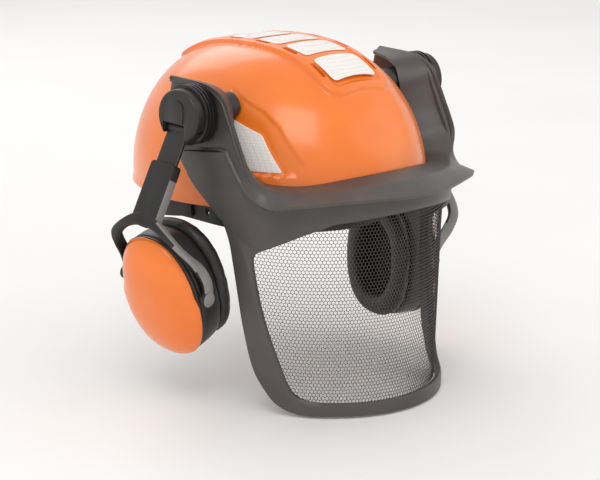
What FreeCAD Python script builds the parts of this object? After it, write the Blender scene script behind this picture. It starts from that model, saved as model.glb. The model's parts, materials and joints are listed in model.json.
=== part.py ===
import FreeCAD, Part
import os
from math import cos, pi, sin, sqrt

V = FreeCAD.Vector
Rotation = FreeCAD.Rotation
Placement = FreeCAD.Placement
X, Y, Z = V(1, 0, 0), V(0, 1, 0), V(0, 0, 1)

# A forestry helmet with a mesh visor and ear muffs, in millimetres. +Z is up and the wearer faces -Y.
# The origin is the centre of the shell's plan, level with the headband's upper edge.

# Shell: a dome whose side section is r^power_out + (z / height)^power_up = 1
shell_half_width = 112.0
shell_front = 139.0
shell_rear = 136.0
shell_height = 107.0
shell_wall = 2.8
dome_power_out = 2.9
dome_power_up = 1.8
rim_front_z = 2.0
rim_side_z = -14.0
rim_nape_z = -18.0

# Crown ridge with its vents and reflective pads
ridge_rise = 3.0
ridge_half_width = 34.0
ridge_front_y = -104.0
ridge_rear_y = 92.0
first_pad_setback = 10.0
pad_half_width = 23.0
pad_length = 26.0
pad_gap = 7.0
pad_count = 4
pad_thickness = 0.8
vent_width = 4.0
vent_length = 20.0
vent_gap = 2.0

# Hub on each side: the visor's pivot, and the seat of the ear-muff arm
hub_x = 118.0
hub_y = -38.0
hub_z = 64.0
hub_toe = 6.0
neck_radius = 13.0
collar_radius = 17.0
collar_width = 3.0
running_fit = 0.1
barrel_radius = 24.0
skirt_radius = 19.6
barrel_top = 13.5
barrel_bore_floor = 3.2
groove_depth = 1.6
groove_width = 1.7
groove_count = 3
groove_start = 3.6
groove_end_land = 3.0
pivot_clearance = 0.4
turning_gap = 0.3
cap_wall = 2.2
cap_height = 9.2
cap_edge_round = 2.6
cap_inset = 2.5
arch_radius = 7.0
arch_rise = 1.0
arch_centre_z = 6.0
ear_width = 3.5
strap_side_gap = 0.5
mouth_side_gap = 1.2
hub_screw_radius = 2.5
boss_wall = 1.5
boss_depth = 4.0
hub_screw_head = 5.0
screw_head_height = 2.4

# Visor carrier: side plates, peak, and the frame with its wire mesh
plate_thickness = 8.0
arm_thickness = 4.6
arm_gap_to_shell = 0.5
peak_thickness = 3.0
peak_gap = 1.2
visor_centre_y = -36.0
visor_top_z = 12.0
visor_bottom_z = -176.0
visor_top_half_width = 118.0
visor_bottom_half_width = 101.0
visor_depth = 122.0
frame_thickness = 3.6
mesh_thickness = 0.8
mesh_overlap = 5.0
seat_gap = 0.2
top_bar_depth = 3.0
pin_radius = 1.8
pin_head_flange = 1.4
pin_head_height = 0.9
pin_places = ((-31.0, 25.0), (-49.0, 25.0))
plate_corner_round = 5.0
backing_depth = 0.4
backing_thickness = 1.8

# Ear muffs
strap_width = 21.0
strap_thickness = 2.6
strap_length = 66.0
slide_travel_up = 18.0
knuckle_radius = 3.6
hinge_pin_radius = 1.6
hinge_out = 15.4
hinge_back = 3.5
hinge_down = -10.5
arm_rake = 4.0
arm_splay = 16.0
grip_width = 28.0
grip_thickness = 8.4
grip_top = -48.0
grip_length = 50.0
grip_round = 2.6
yoke_half_width = 43.6
tine_thickness = 3.4
tine_width = 9.0
cup_drop = -137.0
cup_inset = -48.0
cup_width = 80.0
cup_height = 102.0
cup_pivot_rise = 5.0
cap_depth = 17.0
cup_split_x = 6.0
cup_flange = 2.0
housing_depth = 24.0
housing_wall = 2.4
cushion_depth = 15.0
cushion_width = 84.0
cushion_height = 108.0
cushion_hole_width = 46.0
cushion_hole_height = 66.0
foam_depth = 9.0
cup_pin_radius = 2.6

# How each muff stands at rest: degrees swung out from the ear, millimetres slid up, degrees of cup tilt
right_flare = 10.0
right_slide = slide_travel_up
right_tilt = 29.0
left_flare = 0.0
left_slide = 0.0
left_tilt = 0.0

# Harness
band_half_width = 84.0
band_wall = 2.0
band_front = 103.0
band_straight_front = -15.0
band_straight_rear = 34.0
band_top_z = -6.0
brow_end_y = -45.0
band_bottom_z = -36.0
chin_hole_radius = 2.6
chin_hole_y = -8.0
chin_hole_z = -26.0
nape_length = 70.0
nape_overlap = 24.0
nape_bottom_z = -52.0
nape_top_z = -22.0
nape_pad_start_y = 70.0
knob_z = -37.0
nape_gap = 1.3
knob_radius = 14.0
knob_height = 9.0
knob_flute_count = 12
knob_flute_radius = 1.5
spindle_radius = 3.0
ratchet_width = 56.0
ratchet_height = 30.0
ratchet_depth = 9.0
web_half_width = 88.0
web_half_length = 108.0
web_height = 84.0
web_width = 22.0
web_thickness = 1.6
crown_pad_radius = 42.0
crown_pad_thickness = 8.0
sweatband_thickness = 4.5
sweatband_rear_y = -30.0
clip_width = 22.0
clip_top_z = 14.0
clip_angles = (35.0, 90.0, 145.0, 215.0, 270.0, 325.0)


def save(name, shape):
    shape.exportStep("parts/" + name + ".step")


def fused(shapes):
    whole = shapes[0]
    for shape in shapes[1:]:
        whole = whole.fuse(shape)
    return whole.removeSplitter()


def mirrored(shape):
    return shape.mirror(V(0, 0, 0), X)


def both(shape):
    """The shape on +X and its mirror image on -X, as one group of separate solids."""
    return Part.makeCompound(shape.Solids + mirrored(shape).Solids)


def box(low, high):
    size = high - low
    return Part.makeBox(size.x, size.y, size.z, low)


def side_prism(outline, x_low, x_high):
    """A (y, z) outline pushed along X."""
    points = [V(x_low, y, z) for y, z in outline]
    return Part.Face(Part.makePolygon(points + points[:1])).extrude(V(x_high - x_low, 0, 0))


def spline(points):
    curve = Part.BSplineCurve()
    curve.interpolate(points)
    return curve.toShape()


def splined_face(outer, inner):
    """A flat face between two curves whose ends are joined by straight lines."""
    ends = [Part.makeLine(outer[-1], inner[0]), Part.makeLine(inner[-1], outer[0])]
    return Part.Face(Part.Wire([spline(outer), ends[0], spline(inner), ends[1]]))


def ellipse_half(half_width, length, centre_y, z, rear=False):
    """Half an ellipse in plan from +X to -X, bulging to the front, or to the rear."""
    sign = 1 if rear else -1
    turns = [pi * i / 8 for i in range(9)]
    points = [V(half_width * cos(turn), centre_y + sign * length * sin(turn), z) for turn in turns]
    curve = Part.BSplineCurve()
    curve.interpolate(Points=points, InitialTangent=V(0, sign, 0), FinalTangent=V(0, -sign, 0))
    return curve.toShape()


# Shell

def dome_half(half_width, length, height, floor, front):
    steps = 9
    points = []
    for i in range(steps + 1):
        turn = pi / 2 * i / steps
        out = half_width * max(cos(turn), 0) ** (2 / dome_power_out)
        points.append(V(out, 0, height * sin(turn) ** (2 / dome_power_up)))
    points[-1] = V(0, 0, height)
    curve = Part.BSplineCurve()
    curve.interpolate(Points=points, InitialTangent=V(0, 0, 1), FinalTangent=V(-1, 0, 0))
    wall = Part.makePolygon([V(0, 0, height), V(0, 0, floor), V(half_width, 0, floor), V(half_width, 0, 0)])
    face = Part.Face(Part.Wire(wall.Edges + [curve.toShape()]))
    solid = face.revolve(V(0, 0, 0), Z, -180 if front else 180)
    stretch = FreeCAD.Matrix()
    stretch.scale(1, length / half_width, 1)
    return solid.transformGeometry(stretch)


def dome(grow, floor=-40.0):
    """The solid inside a surface that stands `grow` outside the shell's outer face."""
    width, height = shell_half_width + grow, shell_height + grow
    front = dome_half(width, shell_front + grow, height, floor, True)
    rear = dome_half(width, shell_rear + grow, height, floor, False)
    return front.fuse(rear)


def rim_waste():
    """What lies under the rim: the rim dips at the sides and the nape, and rises at the brow."""
    rim = spline([
        V(-200, -160, rim_front_z), V(-200, -130, rim_front_z), V(-200, -70, rim_side_z + 2),
        V(-200, 0, rim_side_z), V(-200, 70, rim_side_z), V(-200, 150, rim_nape_z),
    ])
    under = Part.makePolygon([V(-200, 150, rim_nape_z), V(-200, 150, -60), V(-200, -160, -60),
                              V(-200, -160, rim_front_z)])
    return Part.Face(Part.Wire([rim] + under.Edges)).extrude(V(400, 0, 0))


def ridge_block(half_width, front_y, rear_y):
    """A round-ended bar in plan, tall enough to cut any layer of the crown."""
    bar = box(V(-half_width, front_y, 20), V(half_width, rear_y, 130))
    upright = [edge for edge in bar.Edges if abs(edge.Vertexes[0].Z - edge.Vertexes[1].Z) > 1]
    return bar.makeFillet(min(half_width * 0.6, (rear_y - front_y) * 0.3), upright)


def pad_places():
    """Front and rear Y of each reflective pad along the ridge."""
    first = ridge_front_y + first_pad_setback
    return [(first + i * (pad_length + pad_gap), first + i * (pad_length + pad_gap) + pad_length)
            for i in range(pad_count)]


def vents():
    slots = []
    for front_y, rear_y in pad_places():
        middle = (front_y + rear_y) / 2
        x_low = pad_half_width + vent_gap
        slot = box(V(x_low, middle - vent_length / 2, 40),
                   V(x_low + vent_width, middle + vent_length / 2, 140))
        slots += [slot, mirrored(slot)]
    return slots


def reflector_outline():
    """Side reflector between the visor plate and the temple, as (y, z)."""
    return [(-46, 58), (-74, 47), (-95, 18), (-66, 19)]


def side_layer(low, high, outline, x_from=40.0):
    layer = dome(high).cut(dome(low))
    return layer.common(side_prism(outline, x_from, 160))


def make_shell():
    outer = dome(0)
    ridge = dome(ridge_rise).common(ridge_block(ridge_half_width, ridge_front_y, ridge_rear_y))
    body = outer.fuse(ridge).cut(dome(-shell_wall, -41.0)).cut(rim_waste())
    seat = side_layer(-pad_thickness, 1.0, reflector_outline())
    body = body.cut(seat).cut(mirrored(seat))
    for slot in vents():
        body = body.cut(slot)
    neck = hub_bore(turning_gap)
    body = body.cut(neck).cut(mirrored(neck))
    return body


def make_ridge_reflectors():
    layer = dome(ridge_rise + pad_thickness).cut(dome(ridge_rise))
    pads = []
    for front_y, rear_y in pad_places():
        pads += layer.common(box(V(-pad_half_width, front_y, 20), V(pad_half_width, rear_y, 140))).Solids
    return Part.makeCompound(pads)


def make_side_reflector():
    return side_layer(-pad_thickness, 0.0, reflector_outline())


# Hubs, built on the +X side

def hub_place():
    """The hub's own frame: X along its outward axis, toed towards the front."""
    return Placement(V(hub_x, hub_y, hub_z), Rotation(Z, -hub_toe))


def hub_bore(grow):
    """The screw's boss hole through the shell wall."""
    return Part.makeCylinder(hub_screw_radius + boss_wall + grow, 40, V(hub_x - 50, hub_y, hub_z), X)


def tilted_cylinder(radius, start, length, about=hub_place):
    cylinder = Part.makeCylinder(radius, length, V(start, 0, 0), X)
    cylinder.Placement = about()
    return cylinder


def make_hub_base():
    """Neck that the visor plate turns on, and the ribbed barrel that the muff's cap turns in."""
    neck = Part.makeCylinder(neck_radius, 40, V(hub_x - 34, hub_y, hub_z), X)
    spigot = Part.makeCylinder(hub_screw_radius + boss_wall, 24, V(hub_x - 40, hub_y, hub_z), X)
    barrel = tilted_cylinder(barrel_radius, -12, barrel_top + 12)
    floor = box(V(hub_x + pivot_clearance, hub_y - 40, hub_z - 40), V(hub_x + 60, hub_y + 40, hub_z + 40))
    barrel = barrel.common(floor)
    neck = neck.common(box(V(60, hub_y - 40, hub_z - 40), V(hub_x + 2, hub_y + 40, hub_z + 40)))
    collar_start = hub_x - plate_thickness - pivot_clearance - collar_width
    collar = Part.makeCylinder(collar_radius, collar_width, V(collar_start, hub_y, hub_z), X)
    base = neck.fuse(collar).cut(dome(0)).fuse(spigot.cut(dome(-shell_wall - boss_depth)).common(dome(0)))
    base = base.fuse(barrel)
    pitch = (barrel_top - groove_end_land) / groove_count
    for i in range(groove_count):
        start = groove_start + i * pitch
        groove = tilted_cylinder(barrel_radius + 1, start, groove_width)
        groove = groove.cut(tilted_cylinder(barrel_radius - groove_depth, start, groove_width))
        base = base.cut(groove)
    base = base.cut(tilted_cylinder(skirt_radius + running_fit, barrel_bore_floor, 40))
    screw_hole = tilted_cylinder(hub_screw_radius, -22, 60)
    return base.cut(screw_hole)


def make_hub_screw():
    head = tilted_cylinder(hub_screw_head, barrel_bore_floor + 2 * turning_gap + cap_wall, screw_head_height)
    shank = tilted_cylinder(hub_screw_radius, -20, 20 + barrel_bore_floor + 2 * turning_gap + cap_wall + 0.1)
    slot = tilted_cylinder(1.6, barrel_bore_floor + cap_wall + 1.6, 8)
    return head.fuse(shank).cut(slot)


def make_hub_cap():
    """Domed cap that turns in the barrel and carries the arm's hinge under its lower lip."""
    top = barrel_top + turning_gap + cap_height
    skirt = Part.makeCylinder(skirt_radius, barrel_top + 1 - barrel_bore_floor - turning_gap,
                              V(barrel_bore_floor + turning_gap, 0, 0), X)
    lid = Part.makeCylinder(barrel_radius - cap_inset, cap_height, V(barrel_top + turning_gap, 0, 0), X)
    flat = [edge for edge in lid.Edges if edge.BoundBox.XLength < 0.01]
    rim = [edge for edge in flat if abs(edge.BoundBox.XMin - top) < 0.01]
    lid = lid.makeFillet(cap_edge_round, rim)
    cap = skirt.fuse(lid)
    cavity = Part.makeCylinder(skirt_radius - cap_wall, top - cap_wall - barrel_bore_floor - cap_wall,
                               V(barrel_bore_floor + turning_gap + cap_wall, 0, 0), X)
    cap = cap.cut(cavity)
    half = strap_width / 2 + mouth_side_gap
    lip = hinge_down + knuckle_radius + 1.0
    mouth = box(V(hinge_out - knuckle_radius - 0.5, hinge_back - half, -40),
                V(top + 5, hinge_back + half, lip))
    cap = cap.cut(mouth)
    arch = Part.makeCylinder(arch_radius, arch_rise, V(top - 0.1, 0, arch_centre_z), X)
    arch = arch.fuse(box(V(top - 0.1, -arch_radius, lip + 1.5),
                         V(top - 0.1 + arch_rise, arch_radius, arch_centre_z)))
    cap = cap.fuse(arch)
    ears = []
    for side in (-1, 1):
        inner = hinge_back + side * (strap_width / 2 + strap_side_gap)
        outer = hinge_back + side * (strap_width / 2 + strap_side_gap + ear_width)
        ear = box(V(hinge_out - 1.2, min(inner, outer), hinge_down - knuckle_radius + 0.8),
                  V(top - cap_wall + 0.5, max(inner, outer), lip + 3))
        ears.append(ear.common(Part.makeCylinder(barrel_radius - cap_inset, 40, V(0, 0, 0), X)))
    cap = fused([cap] + ears)
    cap = cap.cut(Part.makeCylinder(hinge_pin_radius, 60, V(hinge_out, hinge_back - 30, hinge_down), Y))
    return cap.cut(Part.makeCylinder(hub_screw_radius + turning_gap, 20, V(0, 0, 0), X))


def make_hinge_pin():
    half = strap_width / 2 + strap_side_gap + ear_width - 0.4
    return Part.makeCylinder(hinge_pin_radius, 2 * half, V(hinge_out, hinge_back - half, hinge_down), Y)


# Ear-muff arm and cup, built in the arm's own frame: X outward, Y to the rear, Z up along the strap,
# with the hinge pin on the origin

def make_strap():
    knuckle = Part.makeCylinder(knuckle_radius, strap_width, V(0, -strap_width / 2, 0), Y)
    blade = box(V(-strap_thickness / 2, -strap_width / 2, -strap_length),
                V(strap_thickness / 2, strap_width / 2, 0))
    strap = knuckle.fuse(blade)
    return strap.cut(Part.makeCylinder(hinge_pin_radius + 0.08, 60, V(0, -30, 0), Y))


def make_yoke():
    """Sliding grip whose foot forks into two tines that hold the cup's pivots."""
    bottom = grip_top - grip_length
    half = grip_width / 2
    grip = box(V(-grip_thickness / 2, -half, bottom), V(grip_thickness / 2, half, grip_top))
    grip = grip.makeFillet(grip_round, [e for e in grip.Edges if abs(e.Length - grip_length) < 0.01])
    reach = yoke_half_width + tine_thickness
    drop = bottom - cup_drop
    tines = []
    for side in (-1, 1):
        outer = [V(0, side * 4, bottom + 9), V(0, side * half, bottom + 6),
                 V(0, side * reach, bottom - 0.45 * drop), V(0, side * reach, cup_drop - 7)]
        inner = [V(0, side * yoke_half_width, cup_drop - 7),
                 V(0, side * yoke_half_width, bottom - 0.5 * drop),
                 V(0, side * (half - 4), bottom - 4), V(0, side * 4, bottom - 5)]
        face = splined_face(outer, inner)
        flat = face.extrude(V(120, 0, 0))
        flat.translate(V(-60, 0, 0))
        tines.append(flat)
    front_x, rear_x = cup_inset + tine_width / 2, cup_inset - tine_width / 2
    profile_outer = [V(4, 0, bottom + 12), V(3.6, 0, bottom + 1),
                     V(cup_inset * 0.4 + 6, 0, bottom - 0.40 * drop),
                     V(front_x, 0, cup_drop + 2), V(front_x, 0, cup_drop - 8)]
    profile_inner = [V(rear_x, 0, cup_drop - 8), V(rear_x, 0, cup_drop + 6),
                     V(cup_inset * 0.4 - 5, 0, bottom - 0.36 * drop), V(-4, 0, bottom), V(-4, 0, bottom + 12)]
    body = splined_face(profile_outer, profile_inner).extrude(V(0, 160, 0))
    body.translate(V(0, -80, 0))
    yoke = fused([grip] + [tine.common(body) for tine in tines])
    channel_floor = -strap_length - slide_travel_up - 1
    channel = box(V(-strap_thickness / 2 - turning_gap, -strap_width / 2 - turning_gap, channel_floor),
                  V(strap_thickness / 2 + turning_gap, strap_width / 2 + turning_gap, grip_top + 1))
    yoke = yoke.cut(channel)
    return yoke.cut(Part.makeCylinder(cup_pin_radius, 200, V(cup_inset, -100, cup_drop), Y))


def make_cup_pins():
    length = tine_thickness + yoke_half_width - cup_width / 2 + 3
    pins = []
    for side in (-1, 1):
        start = side * (yoke_half_width + tine_thickness)
        pins.append(Part.makeCylinder(cup_pin_radius, length, V(cup_inset, start, cup_drop), Y * -side))
    return Part.makeCompound(pins)


# Cup, in its own frame: X outward, Y to the rear, Z up, with the pivots' axis on the origin

def oval(width, height, x, centre_z=-5.0, squareness=2.3):
    """A closed oval curve in a plane of constant x."""
    points = []
    for i in range(24):
        turn = 2 * pi * i / 24
        y = width / 2 * abs(cos(turn)) ** (2 / squareness) * (1 if cos(turn) >= 0 else -1)
        z = height / 2 * abs(sin(turn)) ** (2 / squareness) * (1 if sin(turn) >= 0 else -1)
        points.append(V(x, y, z + centre_z))
    curve = Part.BSplineCurve()
    curve.interpolate(Points=points, PeriodicFlag=True)
    return Part.Wire([curve.toShape()])


def oval_loft(sections):
    """A solid through ovals given as (x, width, height)."""
    centre = -cup_pivot_rise
    return Part.makeLoft([oval(width, height, x, centre) for x, width, height in sections], True)


def make_cup_cap():
    w, h, d, start = cup_width, cup_height, cap_depth, cup_split_x + seat_gap
    outer = [(start, w, h), (start + 0.35 * d, w - 2, h - 2), (start + 0.7 * d, w - 14, h - 15),
             (start + 0.93 * d, w - 36, h - 38), (start + d, w - 58, h - 60)]
    inner = [(start - 0.1, w - 5, h - 5), (start + 0.32 * d, w - 7, h - 7),
             (start + 0.62 * d, w - 20, h - 22), (start + 0.83 * d, w - 44, h - 46)]
    return oval_loft(outer).cut(oval_loft(inner))


def make_cup_housing():
    w, h, wall = cup_width + cup_flange, cup_height + cup_flange, 2 * housing_wall
    middle, back = cup_split_x - 0.5 * housing_depth, cup_split_x - housing_depth
    outer = oval_loft([(cup_split_x, w, h), (middle, w + 1, h + 1), (back, w - 4, h - 4)])
    inner = oval_loft([(cup_split_x - housing_wall, w - wall, h - wall),
                       (middle, w + 1 - wall, h + 1 - wall),
                       (back - 1, w - 4 - wall, h - 4 - wall)])
    housing = outer.cut(inner)
    return housing.cut(Part.makeCylinder(cup_pin_radius + running_fit, 200, V(0, -100, 0), Y))


def make_cup_foam():
    back = cup_split_x - housing_wall - 1.0
    w, h = cup_width - 8, cup_height - 8
    return oval_loft([(back, w, h), (back - foam_depth, w, h)])


def make_cushion():
    front = cup_split_x - housing_depth - seat_gap
    middle = front - 0.5 * cushion_depth
    back = front - cushion_depth
    w, h = cushion_width, cushion_height
    outer = oval_loft([(front, w - 6, h - 6), (middle, w, h), (back, w - 10, h - 10)])
    hole = oval_loft([(front + 1, cushion_hole_width, cushion_hole_height),
                      (back - 1, cushion_hole_width + 2, cushion_hole_height + 2)])
    return outer.cut(hole)


def muff_places(flare, slide, tilt):
    """Placements on the +X side of the cap, the strap, the yoke and the cup."""
    cap = hub_place().multiply(Placement(V(0, 0, 0), Rotation(X, arm_rake)))
    hinge = Placement(V(hinge_out, hinge_back, hinge_down), Rotation(Y, -(arm_splay + flare)))
    strap = cap.multiply(hinge)
    yoke = strap.multiply(Placement(V(0, 0, slide), Rotation()))
    cup = yoke.multiply(Placement(V(cup_inset, 0, cup_drop), Rotation(Y, arm_splay + tilt)))
    return cap, strap, yoke, cup


def placed(shape, place):
    copy = shape.copy()
    copy.Placement = place
    return copy


def make_muff(side, flare, slide, tilt):
    cap_place, strap_place, yoke_place, cup_place = muff_places(flare, slide, tilt)
    pieces = {
        "hub_base": make_hub_base(),
        "hub_screw": make_hub_screw(),
        "hub_cap": placed(make_hub_cap(), cap_place),
        "hinge_pin": placed(make_hinge_pin(), cap_place),
        "arm_strap": placed(make_strap(), strap_place),
        "yoke": placed(make_yoke(), yoke_place),
        "cup_pins": placed(make_cup_pins(), yoke_place),
        "cup_cap": placed(make_cup_cap(), cup_place),
        "cup_housing": placed(make_cup_housing(), cup_place),
        "cup_foam": placed(make_cup_foam(), cup_place),
        "ear_cushion": placed(make_cushion(), cup_place),
    }
    for name, shape in pieces.items():
        save(side + "_" + name, mirrored(shape) if side == "right" else shape)


# Visor carrier, frame and mesh

def plate_outline():
    """Side plate: upright behind the temple, then sweeping down and forward into the peak, as (y, z)."""
    return [(-1, 90), (-47, 88), (-66, 82), (-77, 67), (-86, 49), (-97, 27), (-106, -3), (-95, 5),
            (-84, 16), (-75, 28), (-73, 39), (-12, 30)]


def shell_edge(gap, y, z):
    """The half-width of the dome at (y, z), plus a gap."""
    q = (1 - max(z / shell_height, 0) ** dome_power_up) ** (1 / dome_power_out)
    across = max(1 - (y / ((shell_front + gap) * q)) ** 2, 0)
    return (shell_half_width + gap) * q * sqrt(across)


def peak_edges():
    """The peak's inner edge along the shell, and its outer edge, from +X round the front to -X."""
    along = [(-64, 32), (-73, 19), (-83, 11), (-107, 8.4), (-130, 14)]
    inner = [V(shell_edge(peak_gap, y, z), y, z) for y, z in along]
    inner.append(V(0, -shell_front - peak_gap, 17.3))
    outer = [V(117.9, -74, 31), V(117.5, -84, 18), V(116, -95, 6), V(111, -114, -2), V(101, -132, 2),
             V(86, -148, 4), V(66, -159, 5), V(38, -171, 5), V(0, -178, 4)]
    edges = []
    for points in (inner, outer):
        edges.append(spline(points + [V(-p.x, p.y, p.z) for p in points[-2::-1]]))
    return edges


def make_peak():
    inner, outer = peak_edges()
    peak = Part.makeRuledSurface(inner, outer).extrude(V(0, 0, -peak_thickness))
    return peak.cut(dome(peak_gap * 0.6))


def make_plate():
    """The +X side plate, with its eye for the hub's neck and a backing web behind the frame's arm."""
    plate = side_prism(plate_outline(), hub_x - plate_thickness, hub_x)
    across = [edge for edge in plate.Edges if edge.BoundBox.XLength > plate_thickness - 0.1]
    upright = [edge for edge in across if edge.BoundBox.ZMax > 70]
    plate = plate.makeFillet(plate_corner_round, upright)
    backing_x = hub_x - plate_thickness + backing_depth
    backing = box(V(backing_x, -57, 17), V(backing_x + backing_thickness, -22, 40))
    eye = Part.makeCylinder(neck_radius + running_fit, 60, V(hub_x - 40, hub_y, hub_z), X)
    return fused([plate, backing]).cut(eye)


def make_carrier():
    plate = make_plate()
    pins = carrier_pin(pin_radius)
    return fused([make_peak(), plate, mirrored(plate)]).cut(pins).cut(mirrored(pins))


def carrier_pin(radius):
    start = hub_x - plate_thickness + seat_gap
    length = plate_thickness + 0.6
    return Part.makeCompound([Part.makeCylinder(radius, length, V(start, y, z), X) for y, z in pin_places])


def make_carrier_pins():
    headed = []
    for pin, (y, z) in zip(carrier_pin(pin_radius).Solids, pin_places):
        start = hub_x + 0.6 - pin_head_height
        head = Part.makeCylinder(pin_radius + pin_head_flange, pin_head_height, V(start, y, z), X)
        headed.append(pin.fuse(head).removeSplitter())
    return both(Part.makeCompound(headed))


def visor_bowl(grow):
    """The solid inside the visor's curved surface: half-ellipses in plan that narrow towards the chin."""
    sections = []
    for z, half_width in ((visor_top_z, visor_top_half_width), (-38, 0.5 * visor_top_half_width + 52),
                          (visor_bottom_z, visor_bottom_half_width)):
        front = ellipse_half(half_width + grow, visor_depth + grow, visor_centre_y, z)
        across = half_width + grow
        back = Part.makeLine(V(-across, visor_centre_y, z), V(across, visor_centre_y, z))
        sections.append(Part.Wire([front, back]))
    return Part.makeLoft(sections, True)


def frame_outline():
    """The frame in side view, as (y, z): rear edge, cut corner, bottom edge, and the top under the peak."""
    return [(-58, 12), (-60, -20), (-65, -38), (-73, -105), (-83, -148), (-98, -169), (-113, -176),
            (-175, -176), (-175, 0), (-140, 0), (-118, -5), (-106, -7), (-95, 1), (-84, 12)]


def window_outline(grow):
    """The opening that the mesh fills, as (y, z), with its edges moved out by `grow`."""
    return [(-84 + grow, -43 + grow), (-85 + grow, -62), (-90 + grow, -91), (-96 + grow, -111),
            (-105 + grow, -148), (-113 + grow * 0.7, -160 - grow * 0.7), (-125, -165 - grow),
            (-180, -165 - grow), (-180, -10 + grow), (-150, -12 + grow), (-118, -25 + grow), (-98, -36 + grow)]


def arm_outline():
    """The arm that joins the frame to the side plate, as (y, z)."""
    return [(-12, 29.6), (-73.3, 38.6), (-75.5, 25), (-84.5, 11.8), (-95, 0.8), (-104, -7), (-104, -24),
            (-66, -36), (-62, -21), (-58, -12), (-50, -2), (-39, 7), (-28, 14), (-17, 18)]


def make_frame():
    band = visor_bowl(0).cut(visor_bowl(-frame_thickness)).common(side_prism(frame_outline(), -160, 160))
    band = band.cut(side_prism(window_outline(0), -160, 160))
    start = shell_half_width + arm_gap_to_shell
    arm = side_prism(arm_outline(), start, start + arm_thickness)
    arm = arm.cut(box(V(start - 1, -140, -60), V(start + 10, -80, 3)))
    plate = make_plate()
    frame = fused([band, arm, mirrored(arm)]).cut(make_peak()).cut(plate).cut(mirrored(plate))
    pins = carrier_pin(pin_radius)
    return frame.cut(pins).cut(mirrored(pins))


def make_mesh():
    outer = visor_bowl(-frame_thickness - seat_gap)
    panel = outer.cut(visor_bowl(-frame_thickness - seat_gap - mesh_thickness))
    return panel.common(side_prism(window_outline(mesh_overlap), -160, 160))


def make_top_bar():
    strip = visor_bowl(top_bar_depth).cut(visor_bowl(seat_gap))
    upper = [(-80, 2), (-98, -8), (-118, -8), (-140, -3), (-180, -3)]
    lower = [(-180, -8), (-150, -9), (-118, -19), (-98, -28), (-80, -33)]
    return strip.common(side_prism(upper + lower, -160, 160))


# Harness

def head_plan(grow, low, high):
    """Upright solid in the plan of the head: half-ellipses front and rear, straight sides between."""
    half_width = band_half_width + grow
    front = ellipse_half(half_width, band_front + band_straight_front + grow, band_straight_front, low)
    rear = ellipse_half(half_width, nape_length + grow, band_straight_rear, low, rear=True)
    sides = [Part.makeLine(V(x, band_straight_front, low), V(x, band_straight_rear, low))
             for x in (-half_width, half_width)]
    wire = Part.Wire(Part.__sortEdges__([front, rear] + sides))
    return Part.Face(wire).extrude(V(0, 0, high - low))


def make_headband():
    """The brow piece, and the two arms that carry on from its ends."""
    band = head_plan(0, band_bottom_z, band_top_z)
    band = band.cut(head_plan(-band_wall, band_bottom_z - 1, band_top_z + 1))
    brow = band.common(box(V(-150, -200, -80), V(150, brow_end_y, 20)))
    arms = band.common(box(V(-150, brow_end_y, -80), V(150, band_straight_rear, 20)))
    hole = Part.makeCylinder(chin_hole_radius, 300, V(-150, chin_hole_y, chin_hole_z), X)
    return brow, arms.cut(hole)


def make_sweatband():
    pad = head_plan(-band_wall - seat_gap, band_bottom_z + 2, band_top_z - 2)
    pad = pad.cut(head_plan(-band_wall - seat_gap - sweatband_thickness, band_bottom_z, band_top_z))
    return pad.common(box(V(-150, -200, -80), V(150, sweatband_rear_y, 20)))


def nape_layer(inner, outer, start_y):
    layer = head_plan(outer, nape_bottom_z, band_top_z)
    layer = layer.cut(head_plan(inner, nape_bottom_z - 1, band_top_z + 1))
    past_rear = band_straight_rear + nape_length + 30
    profile = [(start_y, band_top_z - 3), (past_rear, nape_top_z), (past_rear, nape_bottom_z),
               (start_y, band_bottom_z + 3)]
    return layer.common(side_prism(profile, -150, 150))


def make_nape_band():
    return nape_layer(nape_gap, nape_gap + band_wall, band_straight_rear - nape_overlap)


def make_nape_pad():
    return nape_layer(nape_gap - sweatband_thickness - seat_gap, nape_gap - seat_gap, nape_pad_start_y)


def knob_place():
    return nape_gap + band_wall + seat_gap + ratchet_depth + band_straight_rear + nape_length, knob_z


def make_ratchet_housing():
    inner = nape_gap + band_wall + seat_gap
    back, z = knob_place()
    block = head_plan(inner + ratchet_depth, -70, 0).cut(head_plan(inner, -71, 1))
    block = block.common(box(V(-ratchet_width / 2, 60, z - ratchet_height / 2),
                             V(ratchet_width / 2, 200, z + ratchet_height / 2)))
    spindle = Part.makeCylinder(spindle_radius, 6.5, V(0, back - 3, z), Y)
    return block.fuse(spindle)


def make_ratchet_knob():
    back, z = knob_place()
    knob = Part.makeCylinder(knob_radius, knob_height, V(0, back + turning_gap, z), Y)
    flutes = []
    for i in range(knob_flute_count):
        turn = 2 * pi * i / knob_flute_count
        centre = V(knob_radius * cos(turn), back, z + knob_radius * sin(turn))
        flutes.append(Part.makeCylinder(knob_flute_radius, 40, centre, Y))
    for flute in flutes:
        knob = knob.cut(flute)
    return knob.cut(Part.makeCylinder(spindle_radius + 0.05, 4.0, V(0, back, z), Y))


def web_dome(grow):
    front = dome_half(web_half_width + grow, web_half_length + grow, web_height + grow, 0, True)
    return front.fuse(dome_half(web_half_width + grow, web_half_length + grow, web_height + grow, 0, False))


def radial_box(angle, near, far, width, low, high):
    """A box reaching out from the centre; the angle is measured from straight ahead."""
    bar = box(V(near, -width / 2, low), V(far, width / 2, high))
    bar.Placement = Placement(V(0, 0, 0), Rotation(Z, angle - 90))
    return bar


def make_crown_webbing():
    layer = web_dome(0).cut(web_dome(-web_thickness))
    low = clip_top_z + seat_gap
    legs = [radial_box(angle, -130, 130, web_width, low, 100) for angle in clip_angles[:3]]
    return layer.common(fused(legs))


def make_crown_pad():
    top = web_dome(-web_thickness - seat_gap)
    layer = top.cut(web_dome(-web_thickness - seat_gap - crown_pad_thickness))
    return layer.common(Part.makeCylinder(crown_pad_radius, 100, V(0, 0, 40)))


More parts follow.
